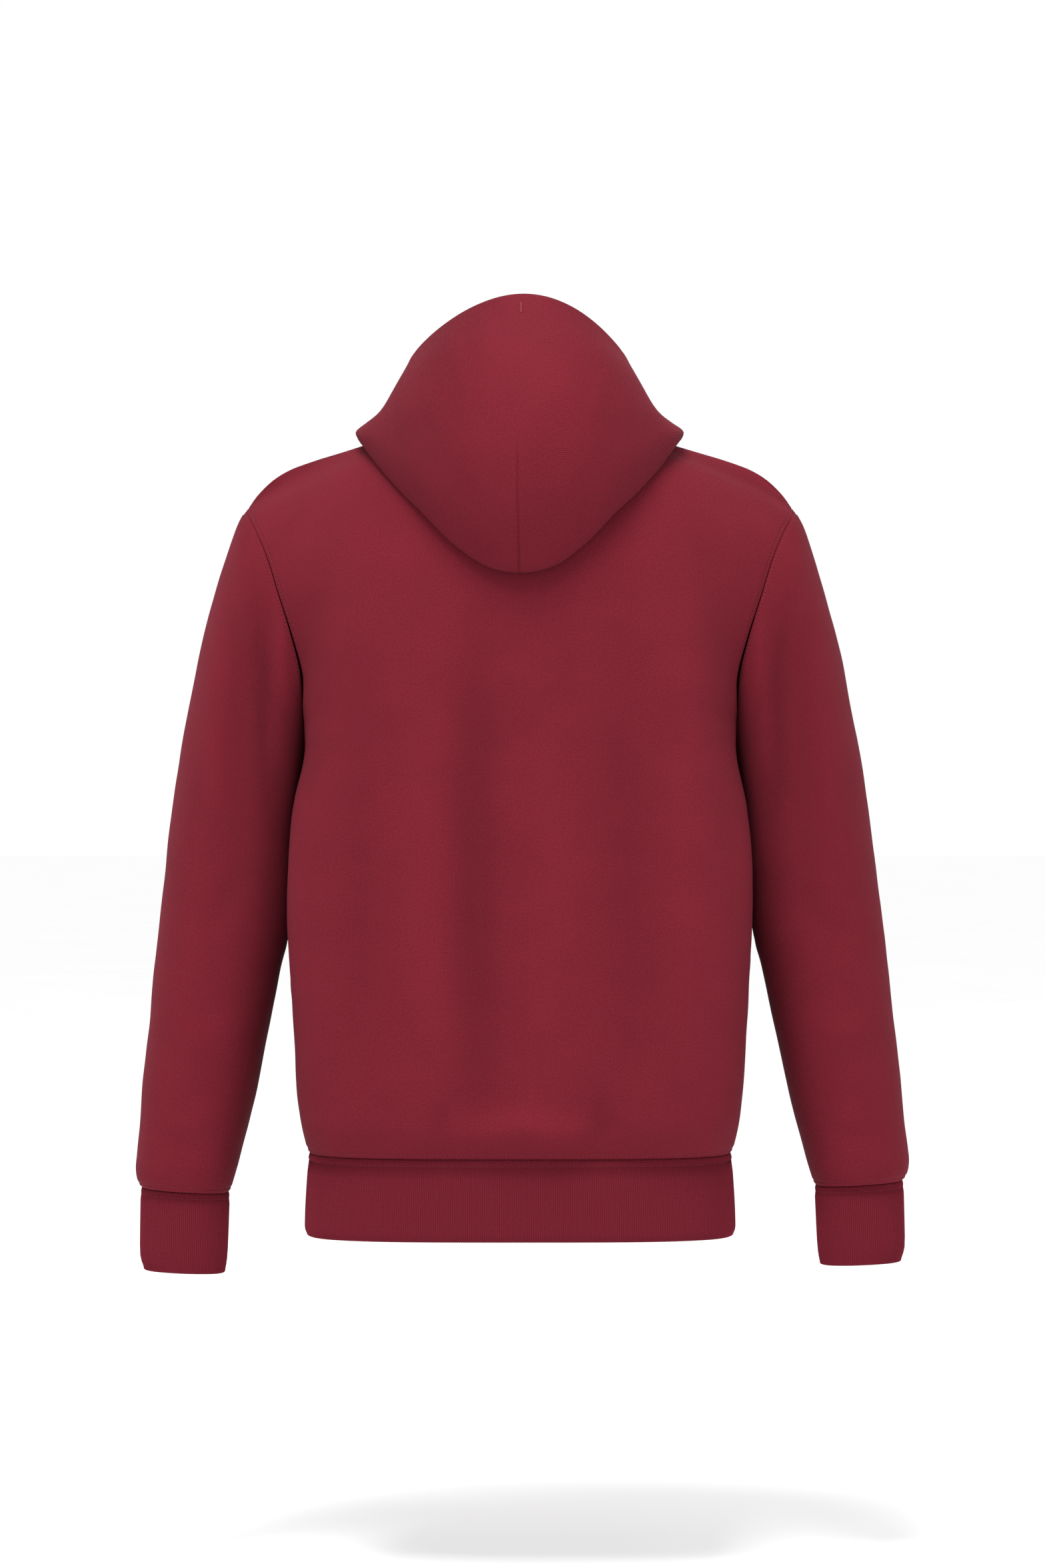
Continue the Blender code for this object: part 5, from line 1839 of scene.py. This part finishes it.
# ---------------------------------------------------------------- zip
@dataclass
class Zip:
    """Tapes and teeth down the front, with the frame's slider, pull and box in worn metal."""

    finishes: Finishes
    seams: Seams
    tape_inner_x: float = 0.0033
    tape_outer_x: float = 0.0160
    tape_set_back: float = 0.0027
    tape_thick: float = 0.0009
    tape_top_drop: float = 0.0015
    tape_row: float = 0.006
    cord_high: float = 0.0006
    cord_in: float = 0.0008
    cord_wide: float = 0.0007
    foot_z: float = -0.6570
    box_top_z: float = -0.6480
    slider_z: float = -0.0985
    tooth_pitch: float = 0.0023
    tooth: Triple = (0.0036, 0.0026, 0.00125)
    chain_set_back: float = 0.0018
    chain_deep: float = 0.0014
    chain_lap: float = 0.0007
    chain_bevel: float = 0.00035
    box_gap: float = 0.0012
    slider_gap: float = 0.0055

    def build(self) -> None:
        """Make tapes and teeth, and give the metal pieces their finish."""
        for side in Side:
            self.tape(side)
        self.chain()
        for name in ("zip_slider", "zip_pull", "zip_box"):
            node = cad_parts[name]
            node.data.materials.clear()
            node.data.materials.append(self.finishes.metal)
            log.info("%s: worn metal", name)

    def grid(self, xs: Sequence[float]) -> tuple[np.ndarray, np.ndarray]:
        """The left front's outer face near the zip.

        Args:
            xs: Where to read across it.

        Returns:
            Points and normals, foot first.
        """
        low = []
        for z in (self.foot_z, BAND.keys[1]):
            curve = PATTERN.section(BAND, z, True)
            low.append([[x, np.interp(x, curve[:, 0], curve[:, 1]), z] for x in xs])
        front = PATTERN.half(True)
        edge, next_in = front[:, 0], front[:, 1]
        rise = np.gradient(edge, axis=0)
        out = unit(np.stack([0 * rise[:, 0], -rise[:, 2], rise[:, 1]], axis=1))
        shares = ((np.array(xs) - edge[:, :1]) / (next_in - edge)[:, :1]).clip(0)[..., None]
        points = edge[:, None] + (next_in - edge)[:, None] * shares
        points[..., 0] = xs
        normals = np.repeat(out[:, None], len(xs), axis=1)
        flat = np.tile([0.0, -1.0, 0.0], (len(low), len(xs), 1))
        return np.concatenate([low, points]), np.concatenate([flat, normals])

    def rows(
        self, xs: Sequence[float], foot: float, top: float, step: float
    ) -> tuple[np.ndarray, np.ndarray]:
        """Fine rows of the zip's grid between two heights.

        Args:
            xs: Where to read across it.
            foot: The lower height.
            top: The upper height.
            step: Their spacing.

        Returns:
            Points and normals.
        """
        points, normals = self.grid(xs)
        heights = points[:, 0, 2]
        wanted = np.append(np.arange(foot, top, step), top)
        return smooth_read(points, heights, wanted), unit(smooth_read(normals, heights, wanted))

    def tape(self, side: Side) -> None:
        """Make one tape, with its cord beside the teeth.

        Args:
            side: Which side.
        """
        xs = np.linspace(self.tape_inner_x, self.tape_outer_x, 9)
        top = PATTERN.half(True)[-1, 0, 2] - self.tape_top_drop
        points, normals = self.rows(xs, self.foot_z, top, self.tape_row)
        cord = np.exp(-(((xs - self.tape_inner_x - self.cord_in) / self.cord_wide) ** 2))
        cord = self.cord_high * cord[None, :, None]
        laid = (points - normals * (self.tape_set_back - cord)) * (side.value, 1, 1)
        cloth = Cloth(laid, turned=side is Side.RIGHT)
        obj = cloth.mesh(f"tape_{side.label}_woven", self.finishes.tape)
        thicken(obj, self.tape_thick)
        wear(obj, "zip_tape", f"zip_tape_{side.label}")

    def chain(self) -> None:
        """Make the closed teeth, each side between the other's."""
        bm = bmesh.new()
        foot, top = self.box_top_z + self.box_gap, self.slider_z - self.slider_gap
        points, normals = self.rows([0.0], foot, top, self.tooth_pitch / 2)
        middles, outs = points[:, 0], normals[:, 0]
        long, deep, high = self.tooth
        for k, (middle, out) in enumerate(zip(middles, outs)):
            sign = 1 if k % 2 else -1
            inwards = -Vector(out)
            across = Vector((1, 0, 0))
            turn = Matrix((across, inwards, across.cross(inwards))).transposed().to_4x4()
            centre = Vector(middle) + inwards * (self.chain_set_back + self.chain_deep)
            centre += across * sign * (long / 2 - self.chain_lap)
            size = Matrix.Diagonal((long, deep, high, 1))
            bmesh.ops.create_cube(bm, size=1.0, matrix=Matrix.Translation(centre) @ turn @ size)
        bmesh.ops.bevel(
            bm,
            geom=bm.edges[:],
            offset=self.chain_bevel,
            segments=1,
            profile=0.5,
            affect="EDGES",
            material=-1,
        )
        wear(make_object("zip_teeth", bm, self.finishes.metal), "zip_metal", "zip_chain")


# ---------------------------------------------------------------- studio
@dataclass
class Studio:
    """Camera, light and a plain pale floor."""

    eye: Triple = (-0.002, 4.0, -0.2837)
    lens: float = 108.98
    sensor: float = 36.0
    floor_z: float = -0.95
    floor_half: float = 40.0
    world: float = 1.0
    key_place: Triple = (0.45, 1.9, 3.1)
    key_size: float = 1.5
    key_power: float = 163.0
    aim: Triple = (0, 0, -0.28)

    def build(self) -> None:
        """Set the studio up."""
        data = bpy.data.cameras.new("camera")
        data.lens = self.lens
        data.sensor_width = self.sensor
        camera = bpy.data.objects.new("camera", data)
        camera.location = self.eye
        camera.rotation_euler = (math.radians(90), 0, math.radians(180))
        bpy.context.scene.collection.objects.link(camera)
        bpy.context.scene.camera = camera
        bpy.context.scene.view_settings.view_transform = "Standard"
        self.floor()
        self.lights()

    def floor(self) -> None:
        """Lay the floor."""
        bm = bmesh.new()
        bmesh.ops.create_grid(bm, x_segments=4, y_segments=4, size=self.floor_half)
        bmesh.ops.translate(bm, verts=bm.verts, vec=(0, 0, self.floor_z))
        make_object("floor", bm, PaleFloor().build())

    def lights(self) -> None:
        """Light the object evenly all round, with one soft light above it on the camera's side."""
        world = bpy.data.worlds.new("studio")
        world.use_nodes = True
        background = world.node_tree.nodes["Background"]
        background.inputs["Color"].default_value = (1, 1, 1, 1)
        background.inputs["Strength"].default_value = self.world
        bpy.context.scene.world = world
        data = bpy.data.lights.new("key", "AREA")
        data.size = self.key_size
        data.energy = self.key_power
        light = bpy.data.objects.new("key", data)
        light.location = self.key_place
        way = Vector(self.aim) - Vector(self.key_place)
        light.rotation_euler = way.to_track_quat("-Z", "Y").to_euler()
        bpy.context.scene.collection.objects.link(light)


def main() -> None:
    """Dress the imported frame."""
    logging.basicConfig(level=logging.INFO, format="%(message)s")
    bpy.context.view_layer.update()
    finishes = Finishes()
    seams = Seams(finishes)
    BodyCloth(finishes, seams).build()
    for side in Side:
        Sleeve(side, finishes, seams).build()
    Hood(finishes, seams).build()
    Waistband(finishes, seams).build()
    for side in Side:
        Cuff(side, finishes, seams).build()
    Zip(finishes, seams).build()
    seams.finish()
    Studio().build()


if __name__ == "__main__":
    main()
